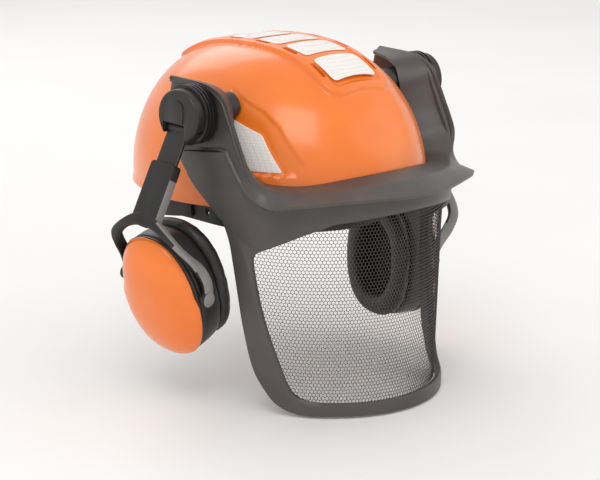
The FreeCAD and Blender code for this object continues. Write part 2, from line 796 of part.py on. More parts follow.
def make_cradle_clips():
    room = dome(-shell_wall - seat_gap)
    inside = head_plan(-band_wall, -60, 60)
    clips = []
    for angle in clip_angles:
        clip = radial_box(angle, 40, 160, clip_width, band_top_z + seat_gap, clip_top_z)
        clips += clip.common(room).cut(inside).Solids
    return Part.makeCompound(clips)


os.makedirs("parts", exist_ok=True)
save("shell", make_shell())
save("ridge_reflectors", make_ridge_reflectors())
reflector = make_side_reflector()
save("left_reflector", reflector)
save("right_reflector", mirrored(reflector))
make_muff("right", right_flare, right_slide, right_tilt)
make_muff("left", left_flare, left_slide, left_tilt)
save("visor_carrier", make_carrier())
save("carrier_pins", make_carrier_pins())
save("visor_frame", make_frame())
save("visor_mesh", make_mesh())
save("visor_top_bar", make_top_bar())
brow_band, side_bands = make_headband()
save("brow_band", brow_band)
save("side_bands", side_bands)
save("sweatband", make_sweatband())
save("nape_band", make_nape_band())
save("nape_pad", make_nape_pad())
save("ratchet_housing", make_ratchet_housing())
save("ratchet_knob", make_ratchet_knob())
save("crown_webbing", make_crown_webbing())
save("crown_pad", make_crown_pad())
save("cradle_clips", make_cradle_clips())
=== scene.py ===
import bmesh
import bpy
import json
import numpy as np
from math import asin, cos, pi, radians, sin, sqrt
from mathutils import Matrix, Vector

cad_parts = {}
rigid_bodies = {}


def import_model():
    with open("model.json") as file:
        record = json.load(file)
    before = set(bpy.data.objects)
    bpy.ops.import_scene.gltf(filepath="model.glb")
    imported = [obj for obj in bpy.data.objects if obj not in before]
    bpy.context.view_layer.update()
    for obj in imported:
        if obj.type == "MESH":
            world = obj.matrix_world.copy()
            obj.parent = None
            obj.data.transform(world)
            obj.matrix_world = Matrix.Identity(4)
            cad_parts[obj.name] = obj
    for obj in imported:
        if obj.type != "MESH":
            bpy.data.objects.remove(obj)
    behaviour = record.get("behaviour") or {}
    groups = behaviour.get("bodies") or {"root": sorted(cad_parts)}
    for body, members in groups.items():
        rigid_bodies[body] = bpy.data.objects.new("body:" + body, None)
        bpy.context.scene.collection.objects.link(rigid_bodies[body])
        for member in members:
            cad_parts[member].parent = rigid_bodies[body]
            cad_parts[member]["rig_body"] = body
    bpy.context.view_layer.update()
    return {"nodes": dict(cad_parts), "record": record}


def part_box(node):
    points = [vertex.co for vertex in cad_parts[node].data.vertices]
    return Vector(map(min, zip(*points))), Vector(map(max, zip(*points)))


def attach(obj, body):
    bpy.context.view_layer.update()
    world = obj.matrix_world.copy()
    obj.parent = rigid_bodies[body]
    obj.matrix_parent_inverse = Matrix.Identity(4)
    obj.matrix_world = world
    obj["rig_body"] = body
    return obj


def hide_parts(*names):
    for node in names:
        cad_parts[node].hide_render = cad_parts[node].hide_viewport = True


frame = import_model()
record = frame["record"]
mm = 0.001
sides = (("left", 1), ("right", -1))


# Materials

def linear(hexColour):
    # an sRGB hex colour as the linear values that a shader takes
    channels = [int(hexColour[i:i + 2], 16) / 255 for i in (1, 3, 5)]
    return [c / 12.92 if c <= 0.04045 else ((c + 0.055) / 1.055) ** 2.4 for c in channels] + [1.0]


def addNode(tree, kind, inputs=None, **settings):
    node = tree.nodes.new(kind)
    for name, value in settings.items():
        setattr(node, name, value)
    for name, value in (inputs or {}).items():
        if isinstance(value, bpy.types.NodeSocket):
            tree.links.new(value, node.inputs[name])
        else:
            node.inputs[name].default_value = value
    return node


def startMaterial(name, roughness, **fixed):
    material = bpy.data.materials.new(name)
    material.use_nodes = True
    tree = material.node_tree
    tree.nodes.clear()
    shader = addNode(tree, "ShaderNodeBsdfPrincipled", {"Roughness": roughness, **fixed})
    addNode(tree, "ShaderNodeOutputMaterial", {"Surface": shader.outputs[0]})
    place = addNode(tree, "ShaderNodeTexCoord").outputs["Object"]
    return material, tree, shader, place


def blendColours(tree, factor, low, high):
    ramp = addNode(tree, "ShaderNodeValToRGB", {"Fac": factor})
    ramp.color_ramp.elements[0].color = linear(low)
    ramp.color_ramp.elements[1].color = linear(high)
    ramp.color_ramp.elements[0].position = 0.3
    ramp.color_ramp.elements[1].position = 0.7
    return ramp.outputs[0]


def noiseAt(tree, place, grainMm, detail=3.0):
    # grainMm is the size of one blotch or grain
    settings = {"Vector": place, "Scale": 1000 / grainMm, "Detail": detail}
    return addNode(tree, "ShaderNodeTexNoise", settings).outputs["Fac"]


def varyRoughness(tree, shader, factor, low, high):
    spread = addNode(tree, "ShaderNodeMapRange", {"Value": factor, "To Min": low, "To Max": high})
    tree.links.new(spread.outputs[0], shader.inputs["Roughness"])


def addBump(tree, shader, height, depthMm, strength=1.0):
    bump = addNode(tree, "ShaderNodeBump", {"Height": height, "Distance": depthMm * mm, "Strength": strength})
    tree.links.new(bump.outputs[0], shader.inputs["Normal"])


def mouldedPlastic(name, low, high, roughness, grainMm, grainDepthMm, **fixed):
    # moulded thermoplastic: even colour with faint flow clouds, and the grain of the mould's steel
    material, tree, shader, place = startMaterial(name, roughness[0], **fixed)
    clouds = noiseAt(tree, place, 45)
    tree.links.new(blendColours(tree, clouds, low, high), shader.inputs["Base Color"])
    grain = noiseAt(tree, place, grainMm, 2.0)
    scuffs = noiseAt(tree, place, 9, 6.0)
    varyRoughness(tree, shader, scuffs, *roughness)
    addBump(tree, shader, grain, grainDepthMm)
    return material


def makeMaterials():
    made = {}
    # gloss ABS from a polished mould: a clear highlight with slight orange peel
    made["shellAbs"] = mouldedPlastic("glossOrangeAbs", "#f0761c", "#f57d22", (0.2, 0.3), 3.0, 0.02,
                                      **{"IOR": 1.54, "Coat Weight": 0.25, "Coat Roughness": 0.12})
    # glass-filled nylon from a spark-eroded mould: satin charcoal with a fine grain
    made["carrierNylon"] = mouldedPlastic("satinCharcoalNylon", "#44403e", "#504a47", (0.34, 0.48), 0.7, 0.03,
                                          IOR=1.53)
    # acetal: denser black, smoother, a tighter highlight on its turned edges
    made["hubAcetal"] = mouldedPlastic("blackAcetal", "#221f1e", "#2a2726", (0.3, 0.42), 0.6, 0.015, IOR=1.48)
    # polypropylene harness: matt black, soft highlight
    made["harnessPp"] = mouldedPlastic("mattBlackPolypropylene", "#1a1817", "#242221", (0.5, 0.64), 0.8, 0.03,
                                       IOR=1.49)
    # the slanted faces of the grip that turn to the front: painted reflection, a paler grey that stands in
    # for the light they reflect, with a lower roughness
    made["gripPaintedReflection"] = mouldedPlastic("paintedReflectionGreyNylon", "#77736f", "#8c8884", (0.34, 0.46), 1.0, 0.02,
                                      IOR=1.53)
    made["film"] = reflectiveFilm()
    made["wire"] = coatedWire()
    made["steel"] = turnedSteel()
    made["cushionSkin"] = cushionSkin()
    made["foam"] = openFoam()
    made["webbing"] = wovenTape()
    made["sweatCloth"] = terryCloth()
    return made


def reflectiveFilm():
    # prismatic film: pale silver, with a honeycomb of sealed cells 2.4 mm across
    material, tree, shader, place = startMaterial("prismaticSilverFilm", 0.32, Metallic=0.0, IOR=1.49)
    cells = addNode(tree, "ShaderNodeTexVoronoi", {"Vector": place, "Scale": 1000 / 2.4, "Randomness": 0.12},
                    feature="DISTANCE_TO_EDGE").outputs["Distance"]
    seams = addNode(tree, "ShaderNodeMapRange", {"Value": cells, "From Max": 0.09})
    tree.links.new(blendColours(tree, seams.outputs[0], "#dcd3cb", "#f3eee9"), shader.inputs["Base Color"])
    varyRoughness(tree, shader, noiseAt(tree, place, 5), 0.26, 0.4)
    addBump(tree, shader, seams.outputs[0], 0.03)
    return material


def coatedWire():
    # etched steel mesh under black powder coat: a soft sheen along each strand
    material, tree, shader, place = startMaterial("powderCoatedMesh", 0.42, Metallic=0.35)
    speck = noiseAt(tree, place, 1.4, 4.0)
    tree.links.new(blendColours(tree, speck, "#3a3533", "#4d4744"), shader.inputs["Base Color"])
    varyRoughness(tree, shader, speck, 0.36, 0.5)
    addBump(tree, shader, noiseAt(tree, place, 0.5), 0.02)
    return material


def turnedSteel():
    # zinc-plated steel, turned: fine rings round each pin
    material, tree, shader, place = startMaterial("zincPlatedSteel", 0.3, Metallic=1.0)
    rings = addNode(tree, "ShaderNodeTexWave", {"Vector": place, "Scale": 1000 / 1.2, "Distortion": 1.5})
    colour = blendColours(tree, rings.outputs["Fac"], "#9a9894", "#bdbab5")
    tree.links.new(colour, shader.inputs["Base Color"])
    varyRoughness(tree, shader, noiseAt(tree, place, 2), 0.24, 0.4)
    addBump(tree, shader, rings.outputs["Fac"], 0.01)
    return material


def cushionSkin():
    # polyurethane foil over foam: black, pebbled, with short soft creases
    material, tree, shader, place = startMaterial("pebbledPuFoil", 0.45, **{"IOR": 1.46, "Coat Weight": 0.08})
    pebbles = addNode(tree, "ShaderNodeTexVoronoi", {"Vector": place, "Scale": 1000 / 1.6},
                      feature="SMOOTH_F1")
    creases = noiseAt(tree, place, 7, 5.0)
    both = addNode(tree, "ShaderNodeMath", {0: pebbles.outputs["Distance"], 1: creases}, operation="ADD")
    tree.links.new(blendColours(tree, creases, "#1d1b1b", "#2b2928"), shader.inputs["Base Color"])
    varyRoughness(tree, shader, creases, 0.38, 0.56)
    addBump(tree, shader, both.outputs[0], 0.12)
    return material


def openFoam():
    # open-cell foam: charcoal, very matt, with pores about 1.5 mm wide
    material, tree, shader, place = startMaterial("openCellFoam", 0.95, IOR=1.4)
    pores = addNode(tree, "ShaderNodeTexVoronoi", {"Vector": place, "Scale": 1000 / 1.5}).outputs["Distance"]
    tree.links.new(blendColours(tree, pores, "#171616", "#35322f"), shader.inputs["Base Color"])
    varyRoughness(tree, shader, pores, 0.85, 1.0)
    addBump(tree, shader, pores, 0.6)
    return material


def weave(tree, place, threadMm):
    # crossed threads: two sets of waves, one across the other
    warp = addNode(tree, "ShaderNodeTexWave", {"Vector": place, "Scale": 500 / threadMm / pi},
                   bands_direction="DIAGONAL").outputs["Fac"]
    turned = addNode(tree, "ShaderNodeMapping", {"Vector": place, "Rotation": (0, 0, pi / 2)})
    weft = addNode(tree, "ShaderNodeTexWave", {"Vector": turned.outputs[0], "Scale": 500 / threadMm / pi},
                   bands_direction="DIAGONAL").outputs["Fac"]
    return addNode(tree, "ShaderNodeMath", {0: warp, 1: weft}, operation="MULTIPLY").outputs[0]


def wovenTape():
    # polyester tape: 1.2 mm ribs of crossed thread, a dull sheen
    material, tree, shader, place = startMaterial("wovenPolyesterTape", 0.7,
                                                  **{"Sheen Weight": 0.25, "IOR": 1.5})
    threads = weave(tree, place, 1.2)
    tree.links.new(blendColours(tree, threads, "#191818", "#3a3735"), shader.inputs["Base Color"])
    varyRoughness(tree, shader, threads, 0.6, 0.82)
    addBump(tree, shader, threads, 0.25)
    return material


def terryCloth():
    # brushed cotton cover: matt charcoal with a nap of short loops
    material, tree, shader, place = startMaterial("brushedCotton", 0.9, **{"Sheen Weight": 0.5, "IOR": 1.4})
    nap = noiseAt(tree, place, 1.1, 6.0)
    tree.links.new(blendColours(tree, nap, "#23211f", "#413d3a"), shader.inputs["Base Color"])
    varyRoughness(tree, shader, nap, 0.82, 1.0)
    addBump(tree, shader, nap, 0.4)
    return material


materials = makeMaterials()
print("materials made:", len(materials))


# Mesh helpers

def meshObject(name, points, faces, material):
    mesh = bpy.data.meshes.new(name)
    mesh.from_pydata([tuple(p) for p in points], [], faces)
    mesh.materials.append(material)
    thing = bpy.data.objects.new(name, mesh)
    bpy.context.scene.collection.objects.link(thing)
    return thing


def gridFaces(rows, columns, closed=False, start=0, flip=False):
    # quads of a grid whose points are stored row by row; closed joins the last column to the first
    faces = []
    for r in range(rows - 1):
        for c in range(columns if closed else columns - 1):
            d = (c + 1) % columns
            quad = [start + r * columns + c, start + r * columns + d,
                    start + (r + 1) * columns + d, start + (r + 1) * columns + c]
            faces.append(quad[::-1] if flip else quad)
    return faces


def applyModifiers(thing):
    evaluated = thing.evaluated_get(bpy.context.evaluated_depsgraph_get())
    final = bpy.data.meshes.new_from_object(evaluated)
    thing.modifiers.clear()
    old = thing.data
    thing.data = final
    final.name = old.name
    bpy.data.meshes.remove(old)


def addModifier(thing, kind, **settings):
    modifier = thing.modifiers.new(kind.lower(), kind)
    for name, value in settings.items():
        setattr(modifier, name, value)
    return modifier


def shadeSmooth(thing, sharpDegrees=38):
    mesh = thing.data
    mesh.shade_smooth()
    edit = bmesh.new()
    edit.from_mesh(mesh)
    for edge in edit.edges:
        edge.smooth = edge.is_manifold and edge.calc_face_angle(0) < radians(sharpDegrees)
    edit.to_mesh(mesh)
    edit.free()


def orient(thing):
    # outward normals on a closed mesh, after its doubles are merged
    edit = bmesh.new()
    edit.from_mesh(thing.data)
    bmesh.ops.remove_doubles(edit, verts=edit.verts, dist=1e-6)
    bmesh.ops.recalc_face_normals(edit, faces=edit.faces)
    edit.to_mesh(thing.data)
    edit.free()


def finishPiece(thing, body, nodes, slot, sharpDegrees=38):
    applyModifiers(thing)
    shadeSmooth(thing, sharpDegrees)
    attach(thing, body)
    if nodes:
        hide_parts(*nodes)
    return thing


def cadCopy(node, name, bevelMm, material, segments=2):
    # a CAD solid as one merged mesh, with flat faces rejoined and its corners rounded
    mesh = frame["nodes"][node].data.copy()
    mesh.materials.clear()
    mesh.materials.append(material)
    thing = bpy.data.objects.new(name, mesh)
    bpy.context.scene.collection.objects.link(thing)
    edit = bmesh.new()
    edit.from_mesh(mesh)
    bmesh.ops.remove_doubles(edit, verts=edit.verts, dist=2e-6)
    bmesh.ops.dissolve_limit(edit, angle_limit=radians(1), verts=edit.verts, edges=edit.edges)
    edit.to_mesh(mesh)
    edit.free()
    addModifier(thing, "BEVEL", width=bevelMm * mm, segments=segments, limit_method="ANGLE",
                angle_limit=radians(38), miter_outer="MITER_ARC")
    addModifier(thing, "WEIGHTED_NORMAL", keep_sharp=True)
    return thing


def catmull(points, steps, closed=False):
    # a smooth curve through the rows of points, `steps` samples for each span
    points = np.asarray(points, float)
    count = len(points)
    spans = count if closed else count - 1
    samples = []
    for i in range(spans):
        if closed:
            a, b, c, d = (points[(i + k) % count] for k in (-1, 0, 1, 2))
        else:
            b, c = points[i], points[i + 1]
            a = points[i - 1] if i else 2 * b - c
            d = points[i + 2] if i + 2 < count else 2 * c - b
        for j in range(steps):
            t = j / steps
            samples.append(0.5 * (2 * b + (c - a) * t + (2 * a - 5 * b + 4 * c - d) * t ** 2
                                  + (3 * b - a - 3 * c + d) * t ** 3))
    if not closed:
        samples.append(points[-1])
    return np.array(samples)


def smoothStep(value):
    t = np.clip(value, 0, 1)
    return t * t * (3 - 2 * t)


def inside(distance, width):
    # 1 inside an outline, 0 outside, with a slope `width` wide between
    return smoothStep(0.5 - distance / width)


def roundedBox(u, v, centre, half, radius):
    # signed distance to a rounded rectangle
    du = np.abs(u - centre[0]) - half[0] + radius
    dv = np.abs(v - centre[1]) - half[1] + radius
    return np.hypot(np.maximum(du, 0), np.maximum(dv, 0)) + np.minimum(np.maximum(du, dv), 0) - radius


def polygonDistance(u, v, corners):
    # signed distance to a polygon, below zero inside
    near = np.full(np.shape(u), 1e9)
    within = np.zeros(np.shape(u), bool)
    for (au, av), (bu, bv) in zip(corners, corners[1:] + corners[:1]):
        eu, ev = bu - au, bv - av
        t = np.clip(((u - au) * eu + (v - av) * ev) / (eu * eu + ev * ev), 0, 1)
        near = np.minimum(near, np.hypot(u - au - t * eu, v - av - t * ev))
        if av != bv:
            crosses = ((av > v) != (bv > v)) & (u < eu * (v - av) / ev + au)
            within ^= crosses
    return np.where(within, -near, near)


# Shell: one moulding, its wall drawn as an outer and an inner skin joined at the rim

shellLow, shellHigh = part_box("shell")
shell = {
    "halfWidth": shellHigh.x / mm,
    "front": -shellLow.y / mm,
    "rear": shellHigh.y / mm,
    "height": 107.0,
    "powerOut": 2.9,
    "powerUp": 1.8,
    "wall": 2.8,
    "rimY": (-160, -130, -70, 0, 70, 150),
    "rimZ": (2, 2, -12, -14, -14, -18),
    "columns": 640,
    "rows": 116,
    "innerColumns": 160,
    "innerRows": 44,
    "ridgeHalfWidth": 34.0,
    "ridgeFront": -104.0,
    "ridgeRear": 92.0,
    "ridgeCorner": 15.0,
    "ridgeRise": 3.6,
    "channelHalfWidth": 25.0,
    "channelDepth": 1.7,
    "panelFlat": 2.6,
    "recessDepth": 3.2,
    "beadRise": 0.9,
    "recess": [(-34, 80), (-71, 64), (-85, 53.4), (-107.3, 25.5), (-104.4, 15.8), (-72, 16.2), (-34, 16)],
    "reflector": [(-46, 58), (-74, 47.5), (-95, 18.4), (-66, 19)],
}


def rimHeight(y):
    return np.interp(y, shell["rimY"], shell["rimZ"])


def domePoints(turns, climbs):
    # points on the plain dome for turns round the rim and climbs from rim (0) to crown (1)
    length = np.where(np.sin(turns) < 0, shell["front"], shell["rear"])
    out = np.array([shell["halfWidth"] * np.cos(turns), length * np.sin(turns)])
    rim = rimHeight(out[1])
    arc = pi / 2 * (1 - (1 - climbs) ** 1.2)
    z = rim + (shell["height"] - rim) * np.sin(arc) ** (2 / shell["powerUp"])
    r = domeReach(z)
    return np.stack([out[0] * r, out[1] * r, z], -1)


def domeReach(z):
    high = np.clip(z / shell["height"], 0, 1)
    return (1 - high ** shell["powerUp"]) ** (1 / shell["powerOut"])


def domeNormals(points):
    # outward normals from the dome's own formula
    x, y, z = (points[..., i] for i in range(3))
    length = np.where(y < 0, shell["front"], shell["rear"])
    r = np.sqrt((x / shell["halfWidth"]) ** 2 + (y / length) ** 2) + 1e-9
    steep = shell["powerOut"] * r ** (shell["powerOut"] - 2)
    high = np.clip(z / shell["height"], 0, 1)
    up = shell["powerUp"] * high ** (shell["powerUp"] - 1) / shell["height"]
    normals = np.stack([steep * x / shell["halfWidth"] ** 2, steep * y / length ** 2, up], -1)
    return normals / np.linalg.norm(normals, axis=-1, keepdims=True)


def recessDepth(points):
    # how far the temple recess sinks: a narrow step above and below, a wide slope towards the brow
    y, z = points[..., 1], points[..., 2]
    fromRim = np.maximum(-polygonDistance(y, z, shell["recess"]), 0)
    toFloor = np.maximum(polygonDistance(y, z, shell["reflector"]) - 1.2, 0)
    share = fromRim / (fromRim + toFloor + 1e-6)
    step = smoothStep(fromRim / 1.6)
    return shell["recessDepth"] * (0.25 * step + 0.75 * share) * (np.abs(points[..., 0]) > 40)


def ridgeHeight(points):
    x, y, z = (points[..., i] for i in range(3))
    middle = (shell["ridgeFront"] + shell["ridgeRear"]) / 2
    half = (shell["ridgeRear"] - shell["ridgeFront"]) / 2
    top = z > 20
    outer = roundedBox(x, y, (0, middle), (shell["ridgeHalfWidth"], half), shell["ridgeCorner"])
    channel = roundedBox(x, y, (0, middle), (shell["channelHalfWidth"], half - 6), 5.0)
    rise = shell["ridgeRise"] * inside(outer, 2.4) - shell["channelDepth"] * inside(channel, 1.8)
    return rise * top


def browFlat(points):
    # the brow between the ridge's corners is flatter than the dome, which leaves a crease at each side
    x, y, z = (points[..., i] for i in range(3))
    halfWidth = shell["ridgeHalfWidth"] - 2
    across = np.maximum(1 - (x / halfWidth) ** 2, 0)
    fade = smoothStep((z - 24) / 22) * smoothStep((-70 - y) / 30)
    return shell["panelFlat"] * across * fade


def rimBead(points):
    above = points[..., 2] - rimHeight(points[..., 1])
    return shell["beadRise"] * inside(above - 4.0, 3.0)


def shellSurface(points, rise=0.0):
    # dome points moved onto the moulding's outer face, plus a rise
    out = ridgeHeight(points) - browFlat(points) - recessDepth(points) + rimBead(points) + rise
    return points + domeNormals(points) * out[..., None]


def innerSurface(points):
    into = -shell["wall"] - recessDepth(points) - browFlat(points)
    return points + domeNormals(points) * into[..., None]


def skin(columns, rows, surface):
    turns, climbs = np.meshgrid(np.arange(columns) * 2 * pi / columns, np.arange(rows) / rows)
    base = domePoints(turns, climbs)
    crown = np.array([[0.0, 0.0, shell["height"]]])
    return np.concatenate([surface(base).reshape(-1, 3), surface(crown)])


vent = {"out": 28.5, "radius": 1.7, "halfLength": 6.5, "levels": (50, 130)}


def ventCutters():
    # stadium-shaped bars that cut the vents beside the crown pads
    edit = bmesh.new()
    for low, high in padPlaces():
        for sign in (-1, 1):
            middle = (low + high) / 2
            ends = []
            for way, turned in ((1, 0), (-1, pi)):
                for k in range(9):
                    angle = turned + k * pi / 8
                    ends.append((sign * vent["out"] + vent["radius"] * cos(angle),
                                 middle + way * vent["halfLength"] + vent["radius"] * sin(angle)))
            layers = [[edit.verts.new((x * mm, y * mm, z * mm)) for x, y in ends] for z in vent["levels"]]
            edit.faces.new(layers[0][::-1])
            edit.faces.new(layers[1])
            for k in range(len(ends)):
                n = (k + 1) % len(ends)
                edit.faces.new([layers[0][k], layers[0][n], layers[1][n], layers[1][k]])
    mesh = bpy.data.meshes.new("ventCutters")
    edit.to_mesh(mesh)
    edit.free()
    cutter = bpy.data.objects.new("ventCutters", mesh)
    bpy.context.scene.collection.objects.link(cutter)
    return cutter


def padPlaces():
    first = shell["ridgeFront"] + 10
    return [(first + i * 33, first + i * 33 + 26) for i in range(4)]


def makeShell():
    columns, rows = shell["columns"], shell["rows"]
    innerColumns, innerRows = shell["innerColumns"], shell["innerRows"]
    outer = skin(columns, rows, shellSurface)
    inner = skin(innerColumns, innerRows, innerSurface)
    start = len(outer)
    faces = gridFaces(rows, columns, True) + gridFaces(innerRows, innerColumns, True, start, True)
    lastOuter, lastInner = (rows - 1) * columns, start + (innerRows - 1) * innerColumns
    for c in range(columns):
        faces.append([lastOuter + c, lastOuter + (c + 1) % columns, start - 1])
    for c in range(innerColumns):
        faces.append([lastInner + (c + 1) % innerColumns, lastInner + c, start + len(inner) - 1])
    ratio = columns // innerColumns
    for c in range(innerColumns):
        rim = [(c * ratio + k) % columns for k in range(ratio + 1)]
        faces.append(rim[::-1] + [start + c, start + (c + 1) % innerColumns])
    points = np.concatenate([outer, inner]) * mm
    body = meshObject("helmetShell", points, faces, materials["shellAbs"])
    orient(body)
    cutter = ventCutters()
    addModifier(body, "BOOLEAN", object=cutter, operation="DIFFERENCE", solver="EXACT")
    applyModifiers(body)
    bpy.data.objects.remove(cutter)
    return finishPiece(body, "helmet", ["shell"], "shell_orange", 50)


makeShell()
print("shell made")


# Reflective films on the ridge and at the temples

filmThickness = 0.8
filmProud = 0.1


def ringPatch(outline, rings):
    # rings of points that shrink an outline to its centre, and the faces between them
    outline = np.asarray(outline, float)
    centre = outline.mean(0)
    shrunk = [centre + (outline - centre) * (1 - r / rings) for r in range(rings)]
    points = np.concatenate(shrunk + [centre[None]])
    count = len(outline)
    faces = gridFaces(rings, count, True)
    last = (rings - 1) * count
    faces += [[last + k, last + (k + 1) % count, rings * count] for k in range(count)]
    return points, faces


def roundedOutline(corners, radius, steps=6):
    # a polygon with each corner rounded by a quadratic curve
    corners = np.asarray(corners, float)
    points = []
    for i in range(len(corners)):
        before, at, after = corners[i - 1], corners[i], corners[(i + 1) % len(corners)]
        start = at + (before - at) * min(radius / np.linalg.norm(before - at), 0.45)
        end = at + (after - at) * min(radius / np.linalg.norm(after - at), 0.45)
        for k in range(steps + 1):
            t = k / steps
            points.append((1 - t) ** 2 * start + 2 * t * (1 - t) * at + t * t * end)
    return subdivideLoop(np.array(points), 3.0)


def subdivideLoop(points, longest):
    out = []
    for a, b in zip(points, np.roll(points, -1, 0)):
        parts = max(1, int(np.ceil(np.linalg.norm(b - a) / longest)))
        out += [a + (b - a) * k / parts for k in range(parts)]
    return np.array(out)


def domeAbove(x, y):
    length = np.where(y < 0, shell["front"], shell["rear"])
    r = np.clip(np.sqrt((x / shell["halfWidth"]) ** 2 + (y / length) ** 2), 0, 1)
    z = shell["height"] * (1 - r ** shell["powerOut"]) ** (1 / shell["powerUp"])
    return np.stack([x, y, z], -1)


def domeBeside(y, z, sign):
    length = np.where(y < 0, shell["front"], shell["rear"])
    reach = domeReach(z)
    x = sign * shell["halfWidth"] * np.sqrt(np.maximum(reach ** 2 - (y / length) ** 2, 0))
    return np.stack([x, y, z], -1)


def makeFilm(name, base, rise, faces, flip):
    on = base + domeNormals(base) * rise
    if flip:
        faces = [face[::-1] for face in faces]
    film = meshObject(name, on * mm, faces, materials["film"])
    addModifier(film, "SOLIDIFY", thickness=filmThickness * mm, offset=-1, use_even_offset=True)
    addModifier(film, "BEVEL", width=0.3 * mm, segments=2, limit_method="ANGLE", angle_limit=radians(50))
    return film


def makeRidgeFilms():
    rise = shell["ridgeRise"] - shell["channelDepth"] + filmThickness + 0.15
    films = []
    for low, high in padPlaces():
        half = 23.0
        corners = [(-half, low), (half, low), (half, high), (-half, high)]
        points, faces = ringPatch(roundedOutline(corners, 5.0), 9)
        films.append(makeFilm("film", domeAbove(points[:, 0], points[:, 1]), rise, faces, False))
    joinPieces(films, "ridgeFilms")
    finishPiece(films[0], "helmet", ["ridge_reflectors"], "reflector", 50)


def makeTempleFilms():
    for side, sign in sides:
        points, faces = ringPatch(roundedOutline(shell["reflector"], 3.0), 10)
        base = domeBeside(points[:, 0], points[:, 1], sign)
        rise = filmThickness - shell["recessDepth"] + filmProud
        film = makeFilm(side + "TempleFilm", base, rise, faces, sign < 0)
        finishPiece(film, "helmet", [side + "_reflector"], "reflector", 50)


def joinPieces(things, name):
    for thing in things:
        applyModifiers(thing)
        thing.select_set(True)
    with bpy.context.temp_override(active_object=things[0], selected_editable_objects=things):
        bpy.ops.object.join()
    things[0].name = name
    things[0].data.name = name
    return things[0]


makeRidgeFilms()
makeTempleFilms()
print("films made")


# Visor carrier: the peak and both side plates are one moulding. Each row holds, from the brow to the
# plate's rear corner, a point where it meets the shell, one on its front edge and one on its lower edge

carrier = {
    "wall": 2.8,
    "rimWidth": 5.0,
    "fieldDepth": 2.2,
    "alongSteps": 9,
    "rows": [
        ((0, -140.8, 17.2), (0, -160, 13.5), (0, -178, 4.5)),
        ((22, -137.6, 16.4), (21, -158, 12.8), (20, -176.4, 4.6)),
        ((41, -129.8, 14.2), (40, -151, 11.6), (38, -171, 5.0)),
        ((59, -118.2, 11), (63, -139.5, 10.2), (66, -158.8, 5.0)),
        ((71.5, -107.4, 9.2), (79, -127, 8.8), (86, -147.5, 4)),
        ((81, -96.6, 9.2), (91.5, -114.5, 8.0), (101, -131.5, 1.6)),
        ((88.5, -86.5, 10.5), (102, -105, 10), (110.8, -114, -2.2)),
        ((92.5, -81, 14), (110.5, -101.5, 17), (115.8, -95.5, 5.5)),
        ((96.3, -74, 22), (117, -96.5, 28), (117.5, -84, 18)),
        ((97.3, -67.5, 33), (118, -91, 39.5), (118, -74.5, 30.5)),
        ((96, -60, 43), (118, -85.6, 50), (118, -66, 38.6)),
        ((94.5, -54.5, 55), (118, -77.3, 66), (118, -40, 34.8)),
        ((94, -52, 67), (118, -70.6, 78), (118, -16, 31.5)),
        ((96, -45, 79), (118, -58, 85.6), (118, -3.5, 36)),
        ((100, -32, 84.5), (118, -42, 88.6), (118, -1.2, 52)),
        ((106, -8, 87), (118, -5, 90), (118, -1.2, 74)),
    ],
}


def carrierGrid():
    # rails across the moulding: shell side, shoulder, front edge, rim, step into the field, middle,
    # lower edge
    rows = np.array(carrier["rows"], float)
    meet, edge, lower = rows[:, 0], rows[:, 1], rows[:, 2]
    onPlate = smoothStep((np.arange(len(rows)) - 6.5) / 2.0)[:, None]
    across = lower - edge
    length = np.linalg.norm(across, axis=1, keepdims=True)
    into = np.array([[-1.0, 0, 0]]) * carrier["fieldDepth"] * onPlate
    shoulder = 0.45 * meet + 0.55 * edge + onPlate * np.array([[4.5, -2.0, 1.5]])
    nearEdge = edge + (meet - edge) * 0.08 + onPlate * np.array([[0.8, 0, 0]])
    rim = edge + across * np.minimum(carrier["rimWidth"] / length, 0.3)
    step = edge + across * np.minimum((carrier["rimWidth"] + 1.4) / length, 0.38) + into
    middle = edge + across * 0.6 + into
    nearLower = edge + across * 0.93 + into
    lip = lower + into * 0.2
    rails = [meet, shoulder, nearEdge, edge, rim, step, middle, nearLower, lip]
    half = [catmull(rail, carrier["alongSteps"]) for rail in rails]
    whole = [np.concatenate([np.array([-1, 1, 1]) * line[:0:-1], line]) for line in half]
    dense = []
    for a, b, parts in zip(whole, whole[1:], (5, 4, 1, 3, 1, 5, 4, 1)):
        dense += [a + (b - a) * k / parts for k in range(parts)]
    dense.append(whole[-1])
    return np.array(dense)


def makeCarrier():
    grid = carrierGrid()
    rows, columns = grid.shape[:2]
    body = meshObject("visorCarrier", grid.reshape(-1, 3) * mm, gridFaces(rows, columns, flip=True),
                      materials["carrierNylon"])
    addModifier(body, "SOLIDIFY", thickness=carrier["wall"] * mm, offset=-1)
    addModifier(body, "BEVEL", width=0.9 * mm, segments=3, limit_method="ANGLE", angle_limit=radians(60))
    hole = hubHoleCutter()
    addModifier(body, "BOOLEAN", object=hole, operation="DIFFERENCE", solver="EXACT")
    finishPiece(body, "visor", ["visor_carrier"], "carrier_black", 42)
    bpy.data.objects.remove(hole)
    return body


hubHoleRadius = 13.4


def hubHoleCutter():
    edit = bmesh.new()
    radius = hubHoleRadius * mm
    place = Matrix.Translation((0, hub["y"] * mm, hub["z"] * mm)) @ Matrix.Rotation(pi / 2, 4, "Y")
    bmesh.ops.create_cone(edit, cap_ends=True, segments=64, radius1=radius, radius2=radius, depth=0.4,
                          matrix=place)
    mesh = bpy.data.meshes.new("hubHole")
    edit.to_mesh(mesh)
    edit.free()
    cutter = bpy.data.objects.new("hubHole", mesh)
    bpy.context.scene.collection.objects.link(cutter)
    return cutter


hub = {"x": 118.0, "y": -38.0, "z": 64.0, "toe": 6.0}
makeCarrier()
print("carrier made")


# Visor frame: one band bent on half-ellipses that narrow towards the chin, with its arms up to the plates.
# An outline point is (side, y, z): on the left, on the right, or across the front (y unused there: its share)

